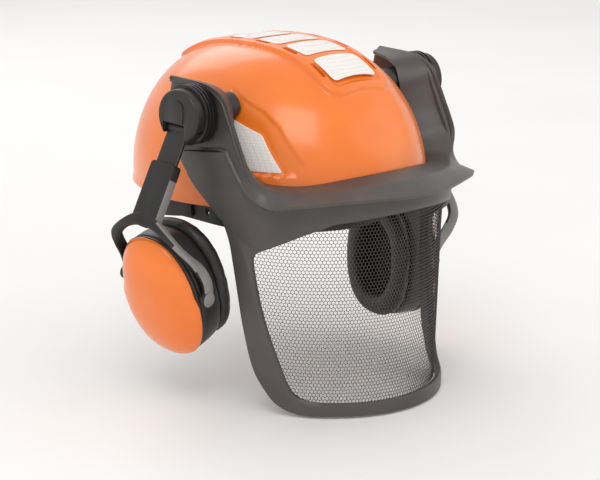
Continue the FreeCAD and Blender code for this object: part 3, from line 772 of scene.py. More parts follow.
visor = {
    "centreY": -36.0,
    "depth": 122.0,
    "levels": (-176, -38, 8, 60),
    "halfWidths": (101, 111, 116.6, 117.2),
    "wall": 3.6,
    # heights of the outlines on the middle plane, foot and top
    "outerMiddle": (-176.6, 5.5),
    "innerMiddle": (-166.4, -12.4),
    "outer": [(-15, 29), (-28.5, 14), (-42, 4), (-53, -6), (-61, -19), (-66, -36), (-70, -72), (-73.5, -105),
              (-79.5, -138), (-88, -156), (-99, -169.5), (-116, -176), (-138, -176.4)],
    "inner": [(-88, -43.5), (-85.6, -46), (-84.4, -49.5), (-84.4, -53), (-84.8, -60), (-86, -70),
              (-88.6, -88), (-94, -112), (-102.5, -141), (-106.5, -152.5), (-111.5, -160.5),
              (-121, -165), (-138, -166)],
    "top": [(-62, 36), (-73.5, 36.5), (-76.5, 24), (-85, 12), (-96, 4.5), (-109, 2.0), (-124, 4.5),
            (-140, 5)],
    "windowTop": [(-88, -43.5), (-92, -41.2), (-98, -38.2), (-105, -34.8), (-113, -30.6), (-122, -25.6),
                  (-132, -20.4), (-141, -16.4)],
}


def bowlWidth(z):
    return np.interp(z, visor["levels"], visor["halfWidths"])


def bowlPoint(angle, z, rise=0.0):
    # angle 0 points along +X, 90 degrees straight ahead
    width, depth = bowlWidth(z) + rise, visor["depth"] + rise
    return np.stack([width * np.cos(angle), visor["centreY"] - depth * np.sin(angle), z + 0 * angle], -1)


def sideAngle(y):
    return np.arcsin(np.clip((visor["centreY"] - np.asarray(y, float)) / visor["depth"], -0.6, 0.999))


def outlineAngles(corners, closing):
    # half an outline as (angle, z), from its first corner to the centre line
    half = [(float(sideAngle(y)), z) for y, z in corners]
    half.append((pi / 2, closing))
    return half


def wholeOutline(lower, upper, lowerZ, upperZ):
    # both halves: down the +X side, under the chin, up the -X side and back over the brow
    down = outlineAngles(lower, lowerZ)
    over = outlineAngles(upper, upperZ)
    right = [(pi - a, z) for a, z in down[-2::-1]]
    brow = [(pi - a, z) for a, z in over[:-1]]
    return down + right + brow + [over[-1]] + [point for point in over[-2:0:-1]]


def makeFrame():
    outer = wholeOutline(visor["outer"], visor["top"], *visor["outerMiddle"])
    inner = wholeOutline(visor["inner"], visor["windowTop"], *visor["innerMiddle"])
    steps, across = 6, 12
    rim = catmull(outer, steps, True)
    window = catmull(inner, steps, True)
    lanes = []
    for k in range(across + 1):
        t = k / across
        at = rim + (window - rim) * t
        lip = 1.1 * smoothStep((t - 0.86) / 0.06)
        lanes.append(bowlPoint(at[:, 0], at[:, 1], -lip))
    grid = np.array(lanes)
    body = meshObject("visorFrame", grid.reshape(-1, 3) * mm, gridFaces(across + 1, grid.shape[1], True),
                      materials["carrierNylon"])
    addModifier(body, "SOLIDIFY", thickness=visor["wall"] * mm, offset=-1)
    addModifier(body, "BEVEL", width=0.8 * mm, segments=3, limit_method="ANGLE", angle_limit=radians(55))
    finishPiece(body, "visor", ["visor_frame"], "carrier_black", 42)
    return window


topBar = {
    "upper": [(-72, -8), (-84, -14), (-98, -13), (-118, -8), (-140, -4.5)],
    "upperMiddle": -4,
    "lower": [(-72, -27), (-84, -34), (-98, -28), (-118, -19), (-140, -11)],
    "lowerMiddle": -9.6,
    "steps": [(0, 0.0), (0.04, 1.6), (0.3, 2.0), (0.36, 1.0), (0.62, 1.2), (0.68, 2.6), (0.95, 2.4),
              (1.0, 0.3)],
    "wall": 1.2,
}


def barEdge(points, middle):
    # turn round the bowl and height along one edge of the bar, up to the middle plane
    return catmull(np.array([(float(sideAngle(y)), z) for y, z in points] + [(pi / 2, middle)]), 8)


def makeTopBar():
    # stepped bar across the brow, over the mesh's upper edge
    upper = barEdge(topBar["upper"], topBar["upperMiddle"])
    lower = barEdge(topBar["lower"], topBar["lowerMiddle"])
    lanes = []
    for t, rise in topBar["steps"]:
        at = upper + (lower - upper) * t
        fade = smoothStep(np.arange(len(at)) / 10)
        half = bowlPoint(at[:, 0], at[:, 1], rise * fade)
        lanes.append(np.concatenate([half, np.array([-1, 1, 1]) * half[-2::-1]]))
    grid = np.array(lanes)
    body = meshObject("visorTopBar", grid.reshape(-1, 3) * mm, gridFaces(*grid.shape[:2]),
                      materials["carrierNylon"])
    addModifier(body, "SOLIDIFY", thickness=topBar["wall"] * mm, offset=-1)
    addModifier(body, "BEVEL", width=0.35 * mm, segments=2, limit_method="ANGLE", angle_limit=radians(50))
    finishPiece(body, "visor", ["visor_top_bar"], "carrier_black", 42)


# Wire mesh: hexagonal cells, each strand a thin tube from a Geometry Nodes tree

wireMesh = {"pitch": 3.2, "radius": 0.27, "tuck": 3.0, "sides": 3}


def startTree(name, inputs):
    # a tree that takes a mesh and some values, and gives a mesh
    tree = bpy.data.node_groups.new(name, "GeometryNodeTree")
    for label, kind in (("Geometry", "NodeSocketGeometry"),) + inputs:
        tree.interface.new_socket(label, in_out="INPUT", socket_type=kind)
    tree.interface.new_socket("Geometry", in_out="OUTPUT", socket_type="NodeSocketGeometry")
    return tree, addNode(tree, "NodeGroupInput").outputs


def endTree(tree, made, material):
    real = addNode(tree, "GeometryNodeRealizeInstances", {0: made})
    painted = addNode(tree, "GeometryNodeSetMaterial", {"Geometry": real.outputs[0], "Material": material})
    addNode(tree, "NodeGroupOutput", {"Geometry": painted.outputs[0]})
    return tree


def strandTree(material):
    tree, given = startTree("meshStrands", (("Radius", "NodeSocketFloat"), ("Sides", "NodeSocketInt")))
    strands = addNode(tree, "GeometryNodeMeshToCurve", {"Mesh": given["Geometry"]}).outputs[0]
    section = addNode(tree, "GeometryNodeCurvePrimitiveCircle",
                      {"Radius": given["Radius"], "Resolution": given["Sides"]}).outputs[0]
    tubes = addNode(tree, "GeometryNodeCurveToMesh",
                    {"Curve": strands, "Profile Curve": section, "Fill Caps": True})
    return endTree(tree, tubes.outputs[0], material)


def runTree(thing, tree, **values):
    modifier = thing.modifiers.new("nodes", "NODES")
    modifier.node_group = tree
    for item in tree.interface.items_tree:
        if item.in_out == "INPUT" and item.name in values:
            modifier[item.identifier] = values[item.name]
    applyModifiers(thing)


def windowPolygon():
    # the frame's window as a polygon in (arc length, z)
    outline = catmull(wholeOutline(visor["inner"], visor["windowTop"], *visor["innerMiddle"]), 4, True)
    return [(float(a), float(z)) for a, z in outline]


def makeWireMesh():
    pitch = wireMesh["pitch"]
    side = pitch / sqrt(3)
    perAngle = visor["depth"] * 0.96
    window = [((a - pi / 2) * perAngle, z) for a, z in windowPolygon()]
    points, edges, index = [], [], {}

    def corner(u, v):
        key = (round(u, 2), round(v, 2))
        if key not in index:
            index[key] = len(points)
            points.append((u, v))
        return index[key]

    for row in range(-75, 8):
        for column in range(-62, 62):
            u, v = (column + 0.5 * (row % 2)) * pitch, row * 1.5 * side - 30
            ring = [(u + side * sin(k * pi / 3), v + side * cos(k * pi / 3)) for k in (0, 1, 2, 3)]
            edges += [(corner(*a), corner(*b)) for a, b in zip(ring, ring[1:])]
    flat = np.array(points)
    keep = polygonDistance(flat[:, 0], flat[:, 1], window) < wireMesh["tuck"]
    kept = sorted({tuple(sorted(e)) for e in edges if keep[e[0]] and keep[e[1]]})
    used = sorted({i for e in kept for i in e})
    renumber = {old: new for new, old in enumerate(used)}
    on = bowlPoint(flat[used, 0] / perAngle + pi / 2, flat[used, 1], -visor["wall"] + 0.4)
    mesh = bpy.data.meshes.new("visorMesh")
    mesh.from_pydata([tuple(p) for p in on * mm], [(renumber[a], renumber[b]) for a, b in kept], [])
    panel = bpy.data.objects.new("visorMesh", mesh)
    bpy.context.scene.collection.objects.link(panel)
    runTree(panel, strandTree(materials["wire"]), Radius=wireMesh["radius"] * mm, Sides=wireMesh["sides"])
    finishPiece(panel, "visor", ["visor_mesh"], "mesh_black", 70)
    return len(kept)


makeFrame()
makeTopBar()
print("visor made, strands:", makeWireMesh())


nodeSlots = {part["node"]: part["material_slot"] for part in record["subparts"]}


# Ear muffs. Each piece is drawn in its own frame: X outward, Y to the rear, Z up

muff = {
    "hinge": (15.4, 3.5, -10.5),
    "rake": 4.0,
    "splay": 16.0,
    "cupInset": -48.0,
    "cupDrop": -137.0,
    "rest": {"left": (0.0, 0.0, 0.0), "right": (10.0, 18.0, 29.0)},
}


def turn(degrees, axis):
    return Matrix.Rotation(radians(degrees), 4, axis)


def muffPlaces(side):
    flare, slide, tilt = muff["rest"][side]
    middle = Matrix.Translation((hub["x"], hub["y"], hub["z"]))
    cap = middle @ turn(-hub["toe"], "Z") @ turn(muff["rake"], "X")
    strap = cap @ Matrix.Translation(muff["hinge"]) @ turn(-muff["splay"] - flare, "Y")
    yoke = strap @ Matrix.Translation((0, 0, slide))
    cup = yoke @ Matrix.Translation((muff["cupInset"], 0, muff["cupDrop"])) @ turn(muff["splay"] + tilt, "Y")
    if side == "right":
        flip = Matrix.Diagonal((-1, 1, 1, 1))
        cap, strap, yoke, cup = flip @ cap, flip @ strap, flip @ yoke, flip @ cup
    return {"cap": cap, "strap": strap, "yoke": yoke, "cup": cup}


def placePiece(thing, place):
    # local millimetres to the object's frame; a mirrored place turns the faces round
    thing.data.transform(Matrix.Scale(mm, 4) @ place)
    if place.determinant() < 0:
        thing.data.flip_normals()


cup = {
    "width": 83.0,
    "height": 108.0,
    "centreZ": -6.0,
    "squareness": 2.25,
    "samples": 96,
    "capEdge": 6.4,
    "capRise": 16.6,
    "tineRelief": 0.07,
    "housingDepth": 24.0,
    "housingWall": 2.2,
    "creaseSlope": 0.10,
    "foamDepth": 9.0,
}


def cupOval(grow=0.0):
    # the cup's oval as (y, z)
    angles = np.arange(cup["samples"]) * 2 * pi / cup["samples"]
    power = 2 / cup["squareness"]
    y = (cup["width"] / 2 + grow) * np.sign(np.cos(angles)) * np.abs(np.cos(angles)) ** power
    z = (cup["height"] / 2 + grow) * np.sign(np.sin(angles)) * np.abs(np.sin(angles)) ** power
    return np.stack([y, z + cup["centreZ"]], -1)


def capOval():
    # narrower above the pivots, where the tines run beside it
    oval = cupOval()
    relief = 1 - cup["tineRelief"] * smoothStep((oval[:, 1] + 4) / 6)
    return np.stack([oval[:, 0] * relief, oval[:, 1]], -1)


def makeCupCap(side, place):
    rings = 26
    oval = capOval()
    centre = oval.mean(0)
    shares = np.sin(np.linspace(pi / 2, 0, rings + 1))[:-1]
    points, faces = [], gridFaces(rings, len(oval), True)
    for share in shares:
        ring = centre + (oval - centre) * share
        rise = cup["capRise"] * (1 - share ** 2.7) ** (1 / 1.75)
        crease = cup["creaseSlope"] * np.maximum(-ring[:, 0] - 7, 0) * (1 - share ** 6)
        points += [(cup["capEdge"] + rise - c, y, z) for (y, z), c in zip(ring, crease)]
    points.append((cup["capEdge"] + cup["capRise"], *centre))
    last = (rings - 1) * len(oval)
    faces += [[last + k, last + (k + 1) % len(oval), len(points) - 1] for k in range(len(oval))]
    cap = meshObject(side + "CupCap", points, faces, materials["shellAbs"])
    addModifier(cap, "SOLIDIFY", thickness=2.2, offset=-1)
    applyModifiers(cap)
    placePiece(cap, place)
    addModifier(cap, "BEVEL", width=0.6 * mm, segments=3, limit_method="ANGLE", angle_limit=radians(50))
    finishPiece(cap, side + "_cup", [side + "_cup_cap"], "shell_orange", 45)


def ringStack(rings):
    # rings of equal length joined in a row, with the last one filled
    count = len(rings[0])
    points = np.concatenate(rings)
    faces = gridFaces(len(rings), count, True)
    faces.append([(len(rings) - 1) * count + k for k in range(count)])
    return points, faces


def makeCupHousing(side, place):
    # from the ear side outward: rolled edge, waist, flange under the cap, closed outer face
    depth = cup["housingDepth"]
    profile = [(6 - depth, -5.2), (6 - depth, -3.2), (7.2 - depth, -2.2), (10 - depth, -1.6), (-8, -1.0),
               (-2, -0.8), (1.5, -0.8), (2.0, -1.5), (2.8, -1.7), (3.4, -0.8), (5.2, -0.4), (6.1, -0.9),
               (6.3, -2.4), (6.2, -6), (6.1, -14)]
    rings = []
    for x, grow in profile:
        oval = cupOval(grow)
        rings.append(np.column_stack([np.full(len(oval), x), oval]))
    points, faces = ringStack(rings)
    housing = meshObject(side + "CupHousing", points, faces, materials["hubAcetal"])
    addModifier(housing, "SOLIDIFY", thickness=cup["housingWall"], offset=-1)
    applyModifiers(housing)
    placePiece(housing, place)
    addModifier(housing, "BEVEL", width=0.4 * mm, segments=2, limit_method="ANGLE", angle_limit=radians(40))
    finishPiece(housing, side + "_cup", [side + "_cup_housing"], "carrier_black", 40)


def makeCupFoam(side, place):
    # the liner that fills the cup behind the cushion: a dished pad with soft dimples
    rings = 18
    oval = cupOval(-6.5)
    centre = oval.mean(0)
    front = 6 - cup["housingWall"] - 1.0 - cup["foamDepth"]
    layers = []
    for k in range(rings + 1):
        share = 1 - 0.97 * k / rings
        flat = centre + (oval - centre) * share
        dimples = 0.5 * np.sin(flat[:, 0] * 0.7) * np.sin(flat[:, 1] * 0.7)
        edge = 1.5 * share ** 10
        layers.append(np.column_stack([front + edge + dimples + 1.2 * (1 - share ** 2), flat]))
    back = np.column_stack([np.full(len(oval), front + cup["foamDepth"]), centre + (oval - centre) * 0.99])
    points, faces = ringStack([back] + layers)
    faces.append(list(range(len(oval)))[::-1])
    foam = meshObject(side + "CupFoam", points, faces, materials["foam"])
    placePiece(foam, place)
    orient(foam)
    finishPiece(foam, side + "_cup", [side + "_cup_foam"], "foam_grey", 70)


# Soft pads are swollen by a short cloth simulation from a slightly shrunken copy of their solid

cushion = {"frames": 20}


def softCopy(node, name, finish, shrinkMm, voxelMm):
    mesh = frame["nodes"][node].data.copy()
    mesh.materials.clear()
    mesh.materials.append(materials[finish])
    pad = bpy.data.objects.new(name, mesh)
    bpy.context.scene.collection.objects.link(pad)
    orient(pad)
    addModifier(pad, "REMESH", mode="VOXEL", voxel_size=voxelMm * mm, use_smooth_shade=True)
    addModifier(pad, "DISPLACE", strength=-shrinkMm * mm, mid_level=0.0)
    addModifier(pad, "SMOOTH", factor=0.5, iterations=3)
    applyModifiers(pad)
    return pad


def inflate(pad, pressure, capMm):
    # cloth under inner pressure; no point moves further than the cap
    start = np.array([v.co for v in pad.data.vertices])
    cloth = addModifier(pad, "CLOTH")
    cloth.settings.use_pressure = True
    cloth.settings.uniform_pressure_force = pressure
    cloth.settings.effector_weights.gravity = 0
    cloth.settings.quality = 6
    cloth.settings.tension_stiffness = 25
    cloth.settings.compression_stiffness = 25
    cloth.settings.bending_stiffness = 2
    cloth.point_cache.frame_end = cushion["frames"]
    for step in range(1, cushion["frames"] + 1):
        bpy.context.scene.frame_set(step)
    applyModifiers(pad)
    end = np.array([v.co for v in pad.data.vertices])
    move = end - start
    length = np.linalg.norm(move, axis=1, keepdims=True)
    end = start + move * np.minimum(1, capMm * mm / np.maximum(length, 1e-9))
    pad.data.vertices.foreach_set("co", end.ravel())
    bpy.context.scene.frame_set(1)


def makePad(node, name, body, finish, slot, shrinkMm=0.7, voxelMm=4.2, capMm=3.0, pressure=4.0):
    pad = softCopy(node, name, finish, shrinkMm, voxelMm)
    inflate(pad, pressure, capMm)
    addModifier(pad, "SUBSURF", levels=1, render_levels=1)
    finishPiece(pad, body, [node], slot, 80)
    return pad


yoke = {
    "eyeUp": 2,
    "eyeHalf": 2.2,
    "gripHalf": 12.6,
    "gripTop": -48.0,
    "gripBottom": -98.0,
    "gripThick": 4.2,
    "shoulder": 3.5,
    "channel": (1.7, 10.9, -86.0),
    "eyeRadius": 6.0,
    "path": [(1.5, 0, -95.0), (1.5, 9, -96.0), (-1.5, 22, -101.5), (-10, 35.5, -109.5), (-24, 43.0, -115.5),
             (-38, 45.2, -123), (-46.5, 45.3, -132), (-48, 45.3, -139)],
    "halfDepth": (4.0, 4.0, 4.2, 4.4, 4.6, 4.6, 4.6, 4.6),
    "halfWall": (6.0, 4.6, 3.0, 2.2, 1.8, 1.7, 1.7, 1.7),
}


def sweptBar(name, path, outs, halfOut, halfSide, material, corner=0.8):
    # a bar with a cornered section that follows a path; outs are its section's first axis at each station
    path = np.asarray(path, float)
    along = np.gradient(path, axis=0)
    along /= np.linalg.norm(along, axis=1, keepdims=True)
    outs = outs - along * np.sum(outs * along, axis=1, keepdims=True)
    outs /= np.linalg.norm(outs, axis=1, keepdims=True)
    acrossBar = np.cross(along, outs)
    halfOut = np.asarray(halfOut, float).reshape(-1, 1)
    halfSide = np.asarray(halfSide, float).reshape(-1, 1)
    section = ((1, -corner), (1, corner), (corner, 1), (-corner, 1),
               (-1, corner), (-1, -corner), (-corner, -1), (corner, -1))
    lanes = [path + outs * halfOut * u + acrossBar * halfSide * v for u, v in section]
    grid = np.array(lanes).transpose(1, 0, 2)
    count = len(section)
    faces = gridFaces(len(path), count, True)
    last = (len(path) - 1) * count
    faces += [list(range(count))[::-1], [last + k for k in range(count)]]
    bar = meshObject(name, grid.reshape(-1, 3), faces, material)
    orient(bar)
    return bar


def prismX(name, outline, low, high, material):
    # a (y, z) outline pushed along X
    count = len(outline)
    points = [(x, y, z) for x in (low, high) for y, z in outline]
    faces = [list(range(count))[::-1], [count + k for k in range(count)]]
    faces += [[k, (k + 1) % count, count + (k + 1) % count, count + k] for k in range(count)]
    thing = meshObject(name, points, faces, material)
    orient(thing)
    return thing


def cutWith(thing, cutter, operation="DIFFERENCE"):
    addModifier(thing, "BOOLEAN", object=cutter, operation=operation, solver="EXACT")
    applyModifiers(thing)
    bpy.data.objects.remove(cutter)


def makeYoke(side, place):
    half, top, bottom = yoke["gripHalf"], yoke["gripTop"], yoke["gripBottom"]
    outline = roundedOutline([(-half, bottom), (half, bottom), (half, top), (-half, top)], yoke["shoulder"])
    thing = prismX(side + "CupYoke", outline, -yoke["gripThick"], yoke["gripThick"], materials["harnessPp"])
    path = np.array(yoke["path"], float)
    depth, wall = np.array(yoke["halfDepth"]), np.array(yoke["halfWall"])
    path = np.concatenate([path[:0:-1] * np.array([1, -1, 1]), path])
    depth, wall = np.concatenate([depth[:0:-1], depth]), np.concatenate([wall[:0:-1], wall])
    fine = catmull(np.column_stack([path, depth, wall]), 6)
    outs = np.tile([1.0, 0, 0], (len(fine), 1))
    fork = sweptBar("fork", fine[:, :3], outs, fine[:, 3], fine[:, 4], materials["harnessPp"], 0.62)
    cutWith(thing, fork, "UNION")
    for sign in (-1, 1):
        x, y, z = yoke["path"][-1]
        angles = [k * pi / 16 for k in range(32)]
        reach, half = yoke["eyeRadius"], yoke["eyeHalf"]
        ring = [(x + reach * cos(a), z + yoke["eyeUp"] + reach * sin(a)) for a in angles]
        eye = prismX("eye", ring, sign * y - half, sign * y + half, materials["harnessPp"])
        eye.data.transform(Matrix(((0, 1, 0, 0), (1, 0, 0, 0), (0, 0, 1, 0), (0, 0, 0, 1))))
        orient(eye)
        cutWith(thing, eye, "UNION")
    thick, wide, floor = yoke["channel"]
    hole = [(-wide, floor), (wide, floor), (wide, top + 5), (-wide, top + 5)]
    channel = prismX("channel", hole, -thick, thick, materials["harnessPp"])
    cutWith(thing, channel)
    placePiece(thing, place)
    addModifier(thing, "BEVEL", width=0.7 * mm, segments=2, limit_method="ANGLE", angle_limit=radians(35))
    applyModifiers(thing)
    # painted reflection: the grip's faces turned to the front take the paler grey
    faceAxisPaint(thing, place, "gripPaintedReflection", lambda n, p: n.y < -0.42 and p.y < -8 and p.z < -60)
    finishPiece(thing, side + "_yoke", [side + "_yoke"], "carrier_black", 35)


def faceAxisPaint(thing, place, finish, test):
    # give a second material, here the paler grey of the painted reflection, to the faces whose local normal
    # and centre pass a test
    thing.data.materials.append(materials[finish])
    back = (Matrix.Scale(mm, 4) @ place).inverted()
    turnBack = place.to_3x3().inverted()
    for face in thing.data.polygons:
        if test((turnBack @ face.normal).normalized(), back @ face.center):
            face.material_index = 1


def makeMuff(side):
    places = muffPlaces(side)
    name = side[0].upper() + side[1:]
    makeCupCap(side, places["cup"])
    makeCupHousing(side, places["cup"])
    makeCupFoam(side, places["cup"])
    makePad(side + "_ear_cushion", side + "EarCushion", side + "_cup", "cushionSkin", "cushion_foil")
    makeYoke(side, places["yoke"])
    strap = cadCopy(side + "_arm_strap", side + "ArmStrap", 0.8, materials["hubAcetal"], 3)
    applyModifiers(strap)
    # painted reflection: the strap's faces turned to the front take the paler grey
    faceAxisPaint(strap, places["strap"], "gripPaintedReflection", lambda n, p: n.y < -0.5 and p.z < -6)
    finishPiece(strap, side + "_strap", [side + "_arm_strap"], "carrier_black", 35)


for side, sign in sides:
    makeMuff(side)
print("muffs made")
# Harness: head band, nape band, crown straps and pads

harness = {
    "webStep": 1.05,
    "webSink": 0.8,
    "stitchInset": 2.2,
    "stitchRun": 14,
    "halfWidth": 84.0,
    "frontLength": 88.0,
    "rearLength": 70.0,
    "frontY": -15.0,
    "rearY": 34.0,
    "browEnd": -45.0,
    "wall": 2.0,
    "low": -36.0,
    "high": -6.0,
    "napeOut": 2.3,
    "napeStart": 10.0,
    "webHalfWidth": 88.0,
    "webHalfLength": 108.0,
    "webHeight": 84.0,
    "webLow": 14.6,
    "webWidth": 22.0,
    "webWall": 1.6,
    "webAngles": (35.0, 90.0, 145.0),
    "holeY": -8.0,
    "holeZ": -26.0,
    "holeRadius": 2.6,
    "stitchGap": 2.6,
    "stitchRadius": 0.35,
}


def headPlan(grow, steps=60):
    # plan of the head from the nape round the +X side, over the brow and back, with outward directions
    wide = harness["halfWidth"] + grow
    turns = np.linspace(-pi / 2, pi / 2, 2 * steps + 1)
    front = turns > 0
    length = np.where(front, harness["frontLength"], harness["rearLength"]) + grow
    middle = np.where(front, harness["frontY"], harness["rearY"])
    half = np.column_stack([wide * np.cos(turns), middle - length * np.sin(turns)])
    sideYs = np.linspace(harness["rearY"], harness["frontY"], 12)[1:]
    half = np.concatenate([half[:steps + 1], [[wide, y] for y in sideYs], half[steps + 1:]])
    plan = np.concatenate([half, half[-2::-1] * [-1, 1]])
    along = np.gradient(plan, axis=0)
    outs = np.column_stack([-along[:, 1], along[:, 0]])
    outs /= np.linalg.norm(outs, axis=1, keepdims=True)
    outs *= np.sign(np.sum(outs * (plan - [0, 10]), axis=1, keepdims=True))
    return plan, outs


def bandPiece(name, keep, grow, lowAt, highAt, finish, wall):
    # a strip bent round the head's plan, kept where keep(x, y) holds
    plan, outs = headPlan(grow)
    chosen = keep(plan[:, 0], plan[:, 1])
    plan, outs = plan[chosen], outs[chosen]
    low, high = lowAt(plan[:, 1]), highAt(plan[:, 1])
    path = np.column_stack([plan, (low + high) / 2])
    outs = np.column_stack([outs, np.zeros(len(outs))])
    return sweptBar(name, path, outs, np.full(len(path), wall / 2), (high - low) / 2, materials[finish], 0.94)


def level(z):
    return lambda y: np.full(len(y), z)


def makeHeadband():
    wall, low, high, end = harness["wall"], level(harness["low"]), level(harness["high"]), harness["browEnd"]
    brow = bandPiece("browBand", lambda x, y: y <= end + 1, -wall / 2, low, high, "harnessPp", wall)
    finishBand(brow, "helmet", ["brow_band"])
    arms = []
    for sign in (-1, 1):
        keep = lambda x, y: (y >= end - 1) & (y <= harness["rearY"] + 0.1) & (x * sign > 0)
        arm = bandPiece("sideBand", keep, -wall / 2, low, high, "harnessPp", wall)
        ring = [(harness["holeY"] + harness["holeRadius"] * cos(k * pi / 16),
                 harness["holeZ"] + harness["holeRadius"] * sin(k * pi / 16)) for k in range(32)]
        cutWith(arm, prismX("hole", ring, -100, 100, materials["harnessPp"]))
        arms.append(arm)
    joinPieces(arms, "sideBands")
    finishBand(arms[0], "helmet", ["side_bands"])


def finishBand(band, body, nodes):
    band.data.transform(Matrix.Scale(mm, 4))
    addModifier(band, "BEVEL", width=0.5 * mm, segments=2, limit_method="ANGLE", angle_limit=radians(50))
    finishPiece(band, body, nodes, nodeSlots[nodes[0]], 40)


def makeNapeBand():
    wall, start = harness["wall"], harness["napeStart"]
    past = harness["rearY"] + harness["rearLength"] + 30

    def lowAt(y):
        return np.interp(y, (start, past), (-33, -52))

    def highAt(y):
        return np.interp(y, (start, past), (-9, -22))

    band = bandPiece("napeBand", lambda x, y: y >= start, harness["napeOut"], lowAt, highAt,
                     "harnessPp", wall)
    finishBand(band, "nape", ["nape_band"])


def webPath(angle, rise, steps=48):
    # one crown strap, from the clip on one side over the crown to the clip across from it
    way = np.array([sin(radians(angle)), -cos(radians(angle))])
    halfSizes = harness["webHalfWidth"] + rise, harness["webHalfLength"] + rise
    reach = 1 / np.hypot(way[0] / halfSizes[0], way[1] / halfSizes[1])
    height = harness["webHeight"] + rise
    lowest = asin((harness["webLow"] / height) ** (shell["powerUp"] / 2))
    climbs = np.linspace(lowest, pi / 2, steps)
    out = reach * np.cos(climbs) ** (2 / shell["powerOut"])
    out[-1] = 0
    half = np.column_stack([out * way[0], out * way[1], height * np.sin(climbs) ** (2 / shell["powerUp"])])
    return np.concatenate([half, half[-2::-1] * [-1, -1, 1]])


def stitchTree(thread):
    # capsules set end to end along each edge chain
    tree, given = startTree("stitchRow", (("Gap", "NodeSocketFloat"), ("Radius", "NodeSocketFloat")))
    chain = addNode(tree, "GeometryNodeMeshToCurve", {"Mesh": given["Geometry"]}).outputs[0]
    beads = addNode(tree, "GeometryNodeCurveToPoints", {"Curve": chain, "Length": given["Gap"]},
                    mode="LENGTH")
    length = addNode(tree, "ShaderNodeMath", {0: given["Gap"], 1: 0.72}, operation="MULTIPLY").outputs[0]
    thick = addNode(tree, "ShaderNodeCombineXYZ", {"X": given["Radius"], "Y": given["Radius"]})
    half = addNode(tree, "ShaderNodeMath", {0: length, 1: 0.5}, operation="MULTIPLY").outputs[0]
    tree.links.new(half, thick.inputs["Z"])
    ball = addNode(tree, "GeometryNodeMeshUVSphere", {"Segments": 8, "Rings": 6, "Radius": 1.0}).outputs[0]
    placed = addNode(tree, "GeometryNodeInstanceOnPoints",
                     {"Points": beads.outputs["Points"], "Instance": ball,
                      "Rotation": beads.outputs["Rotation"], "Scale": thick.outputs[0]})
    return endTree(tree, placed.outputs[0], thread)


def makeStitches(rows):
    mesh = bpy.data.meshes.new("stitches")
    points, edges = [], []
    for row in rows:
        start = len(points)
        points += [tuple(p * mm) for p in row]
        edges += [(start + k, start + k + 1) for k in range(len(row) - 1)]
    mesh.from_pydata(points, edges, [])
    seam = bpy.data.objects.new("stitches", mesh)
    bpy.context.scene.collection.objects.link(seam)
    runTree(seam, stitchTree(materials["sweatCloth"]), Gap=harness["stitchGap"] * mm,
            Radius=harness["stitchRadius"] * mm)
    return seam


def makeWebbing():
    straps, rows = [], []
    for k, angle in enumerate(harness["webAngles"]):
        path = webPath(angle, harness["webWall"] * (k - 1.0) * harness["webStep"] - harness["webSink"])
        along = np.gradient(path, axis=0)
        side = np.array([cos(radians(angle)), sin(radians(angle)), 0.0])
        outs = np.cross(along, side)
        outs *= np.sign(outs[:, 2:3] + 1e-9)
        outs /= np.linalg.norm(outs, axis=1, keepdims=True)
        strap = sweptBar("strap", path, outs, np.full(len(path), harness["webWall"] / 2),
                         np.full(len(path), harness["webWidth"] / 2), materials["webbing"], 0.9)
        strap.data.transform(Matrix.Scale(mm, 4))
        straps.append(strap)
        skin = path + outs * (harness["webWall"] / 2)
        for edge in (-1, 1):
            seam = skin + side * edge * (harness["webWidth"] / 2 - harness["stitchInset"])
            rows += [seam[:harness["stitchRun"]], seam[-harness["stitchRun"]:]]
    joinPieces(straps, "crownWebbing")
    finishPiece(straps[0], "helmet", ["crown_webbing"], nodeSlots["crown_webbing"], 50)
    seam = finishPiece(makeStitches(rows), "helmet", [], nodeSlots["crown_webbing"], 80)
    seam.name = "crownStitches"


makeHeadband()
makeNapeBand()
makeWebbing()
makePad("sweatband", "browSweatband", "helmet", "sweatCloth", nodeSlots["sweatband"], 0.4, 2.6, 1.5, 3.0)
makePad("crown_pad", "crownPad", "helmet", "sweatCloth", nodeSlots["crown_pad"], 0.5, 3.2, 2.0, 3.0)
makePad("nape_pad", "napePad", "nape", "sweatCloth", nodeSlots["nape_pad"], 0.4, 2.6, 1.5, 3.0)
print("harness made")




# Hard parts whose solid already has the right shape: a rounded copy rides in place of each

def makeCopies():
    copies = {
        "hub_base": ("hubBarrel", 0.5, "hubAcetal"),
        "hub_cap": ("hubCap", 0.7, "hubAcetal"),
        "hub_screw": ("hubScrew", 0.3, "steel"),
        "hinge_pin": ("hingePin", 0.3, "steel"),
        "cup_pins": ("cupPins", 0.4, "steel"),
    }
    for side, sign in sides:
        for node, (name, bevel, finish) in copies.items():
            copyNode(side + "_" + node, side + name[0].upper() + name[1:], bevel, finish)
    single = {
        "carrier_pins": ("carrierPins", 0.3, "steel"),
        "cradle_clips": ("cradleClips", 0.8, "harnessPp"),
        "ratchet_housing": ("ratchetHousing", 1.0, "harnessPp"),
        "ratchet_knob": ("ratchetKnob", 0.8, "harnessPp"),
    }
    for node, (name, bevel, finish) in single.items():
        copyNode(node, name, bevel, finish)


def bodyOf(node):
    return frame["nodes"][node]["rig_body"]


def copyNode(node, name, bevel, finish):
    piece = cadCopy(node, name, bevel, materials[finish])
    finishPiece(piece, bodyOf(node), [node], nodeSlots[node])


makeCopies()
print("copies made")


# Floor, light and camera

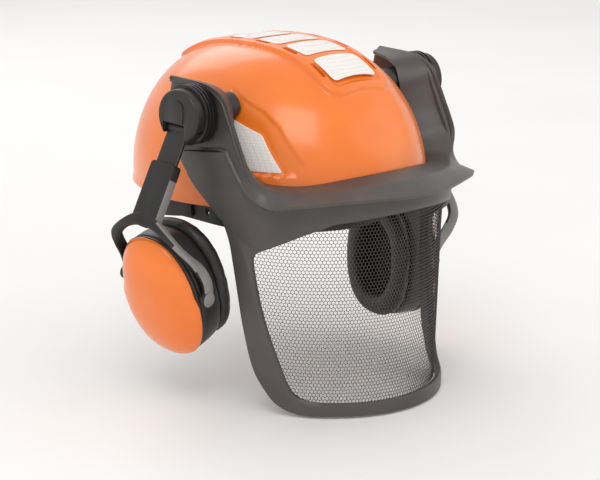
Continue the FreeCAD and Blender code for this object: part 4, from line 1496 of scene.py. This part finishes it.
stand = {"floor": -0.1785, "distance": 1.6, "azimuth": -42, "elevation": 12, "lens": 112.8,
         "aim": (0.012234, -0.040426)}


def makeFloor():
    material, tree, shader, place = startMaterial("paleFloor", 0.8)
    colour = blendColours(tree, noiseAt(tree, place, 400), "#f2f1ef", "#f6f5f3")
    tree.links.new(colour, shader.inputs["Base Color"])
    half = 6.0
    corners = [(x * half, y * half, stand["floor"]) for x, y in ((-1, -1), (1, -1), (1, 1), (-1, 1))]
    floor = meshObject("floor", corners, [(0, 1, 2, 3)], material)


def aimAt(thing, target):
    thing.rotation_euler = (Vector(target) - thing.location).to_track_quat("-Z", "Y").to_euler()


def makeLight(name, place, size, power):
    light = bpy.data.objects.new(name, bpy.data.lights.new(name, "AREA"))
    light.data.size = size
    light.data.energy = power
    light.location = place
    bpy.context.scene.collection.objects.link(light)
    aimAt(light, (0, 0, 0))


def makeCamera():
    camera = bpy.data.objects.new("camera", bpy.data.cameras.new("camera"))
    bpy.context.scene.collection.objects.link(camera)
    turn, rise = radians(stand["azimuth"]), radians(stand["elevation"])
    back = Vector((sin(turn) * cos(rise), -cos(turn) * cos(rise), sin(rise)))
    right = Vector((cos(turn), sin(turn), 0))
    up = right.cross(-back)
    camera.location = back * stand["distance"]
    aim = -back + right * stand["aim"][0] + up * stand["aim"][1]
    camera.rotation_euler = aim.to_track_quat("-Z", "Y").to_euler()
    camera.data.lens = stand["lens"]
    bpy.context.scene.camera = camera


def makeWorld():
    world = bpy.data.worlds.new("studio")
    world.use_nodes = True
    world.node_tree.nodes["Background"].inputs["Color"].default_value = (1, 1, 1, 1)
    world.node_tree.nodes["Background"].inputs["Strength"].default_value = 0.86
    bpy.context.scene.world = world
    bpy.context.scene.view_settings.view_transform = "Standard"  # whites stay white and the orange stays full


makeFloor()
makeLight("keyLight", (-1.4, -1.2, 1.9), 1.4, 17)
makeLight("fillLight", (1.6, -1.6, 0.9), 1.6, 4)
makeLight("rimLight", (0.6, 1.8, 1.4), 1.2, 7)
makeWorld()
makeCamera()
print("stage made")
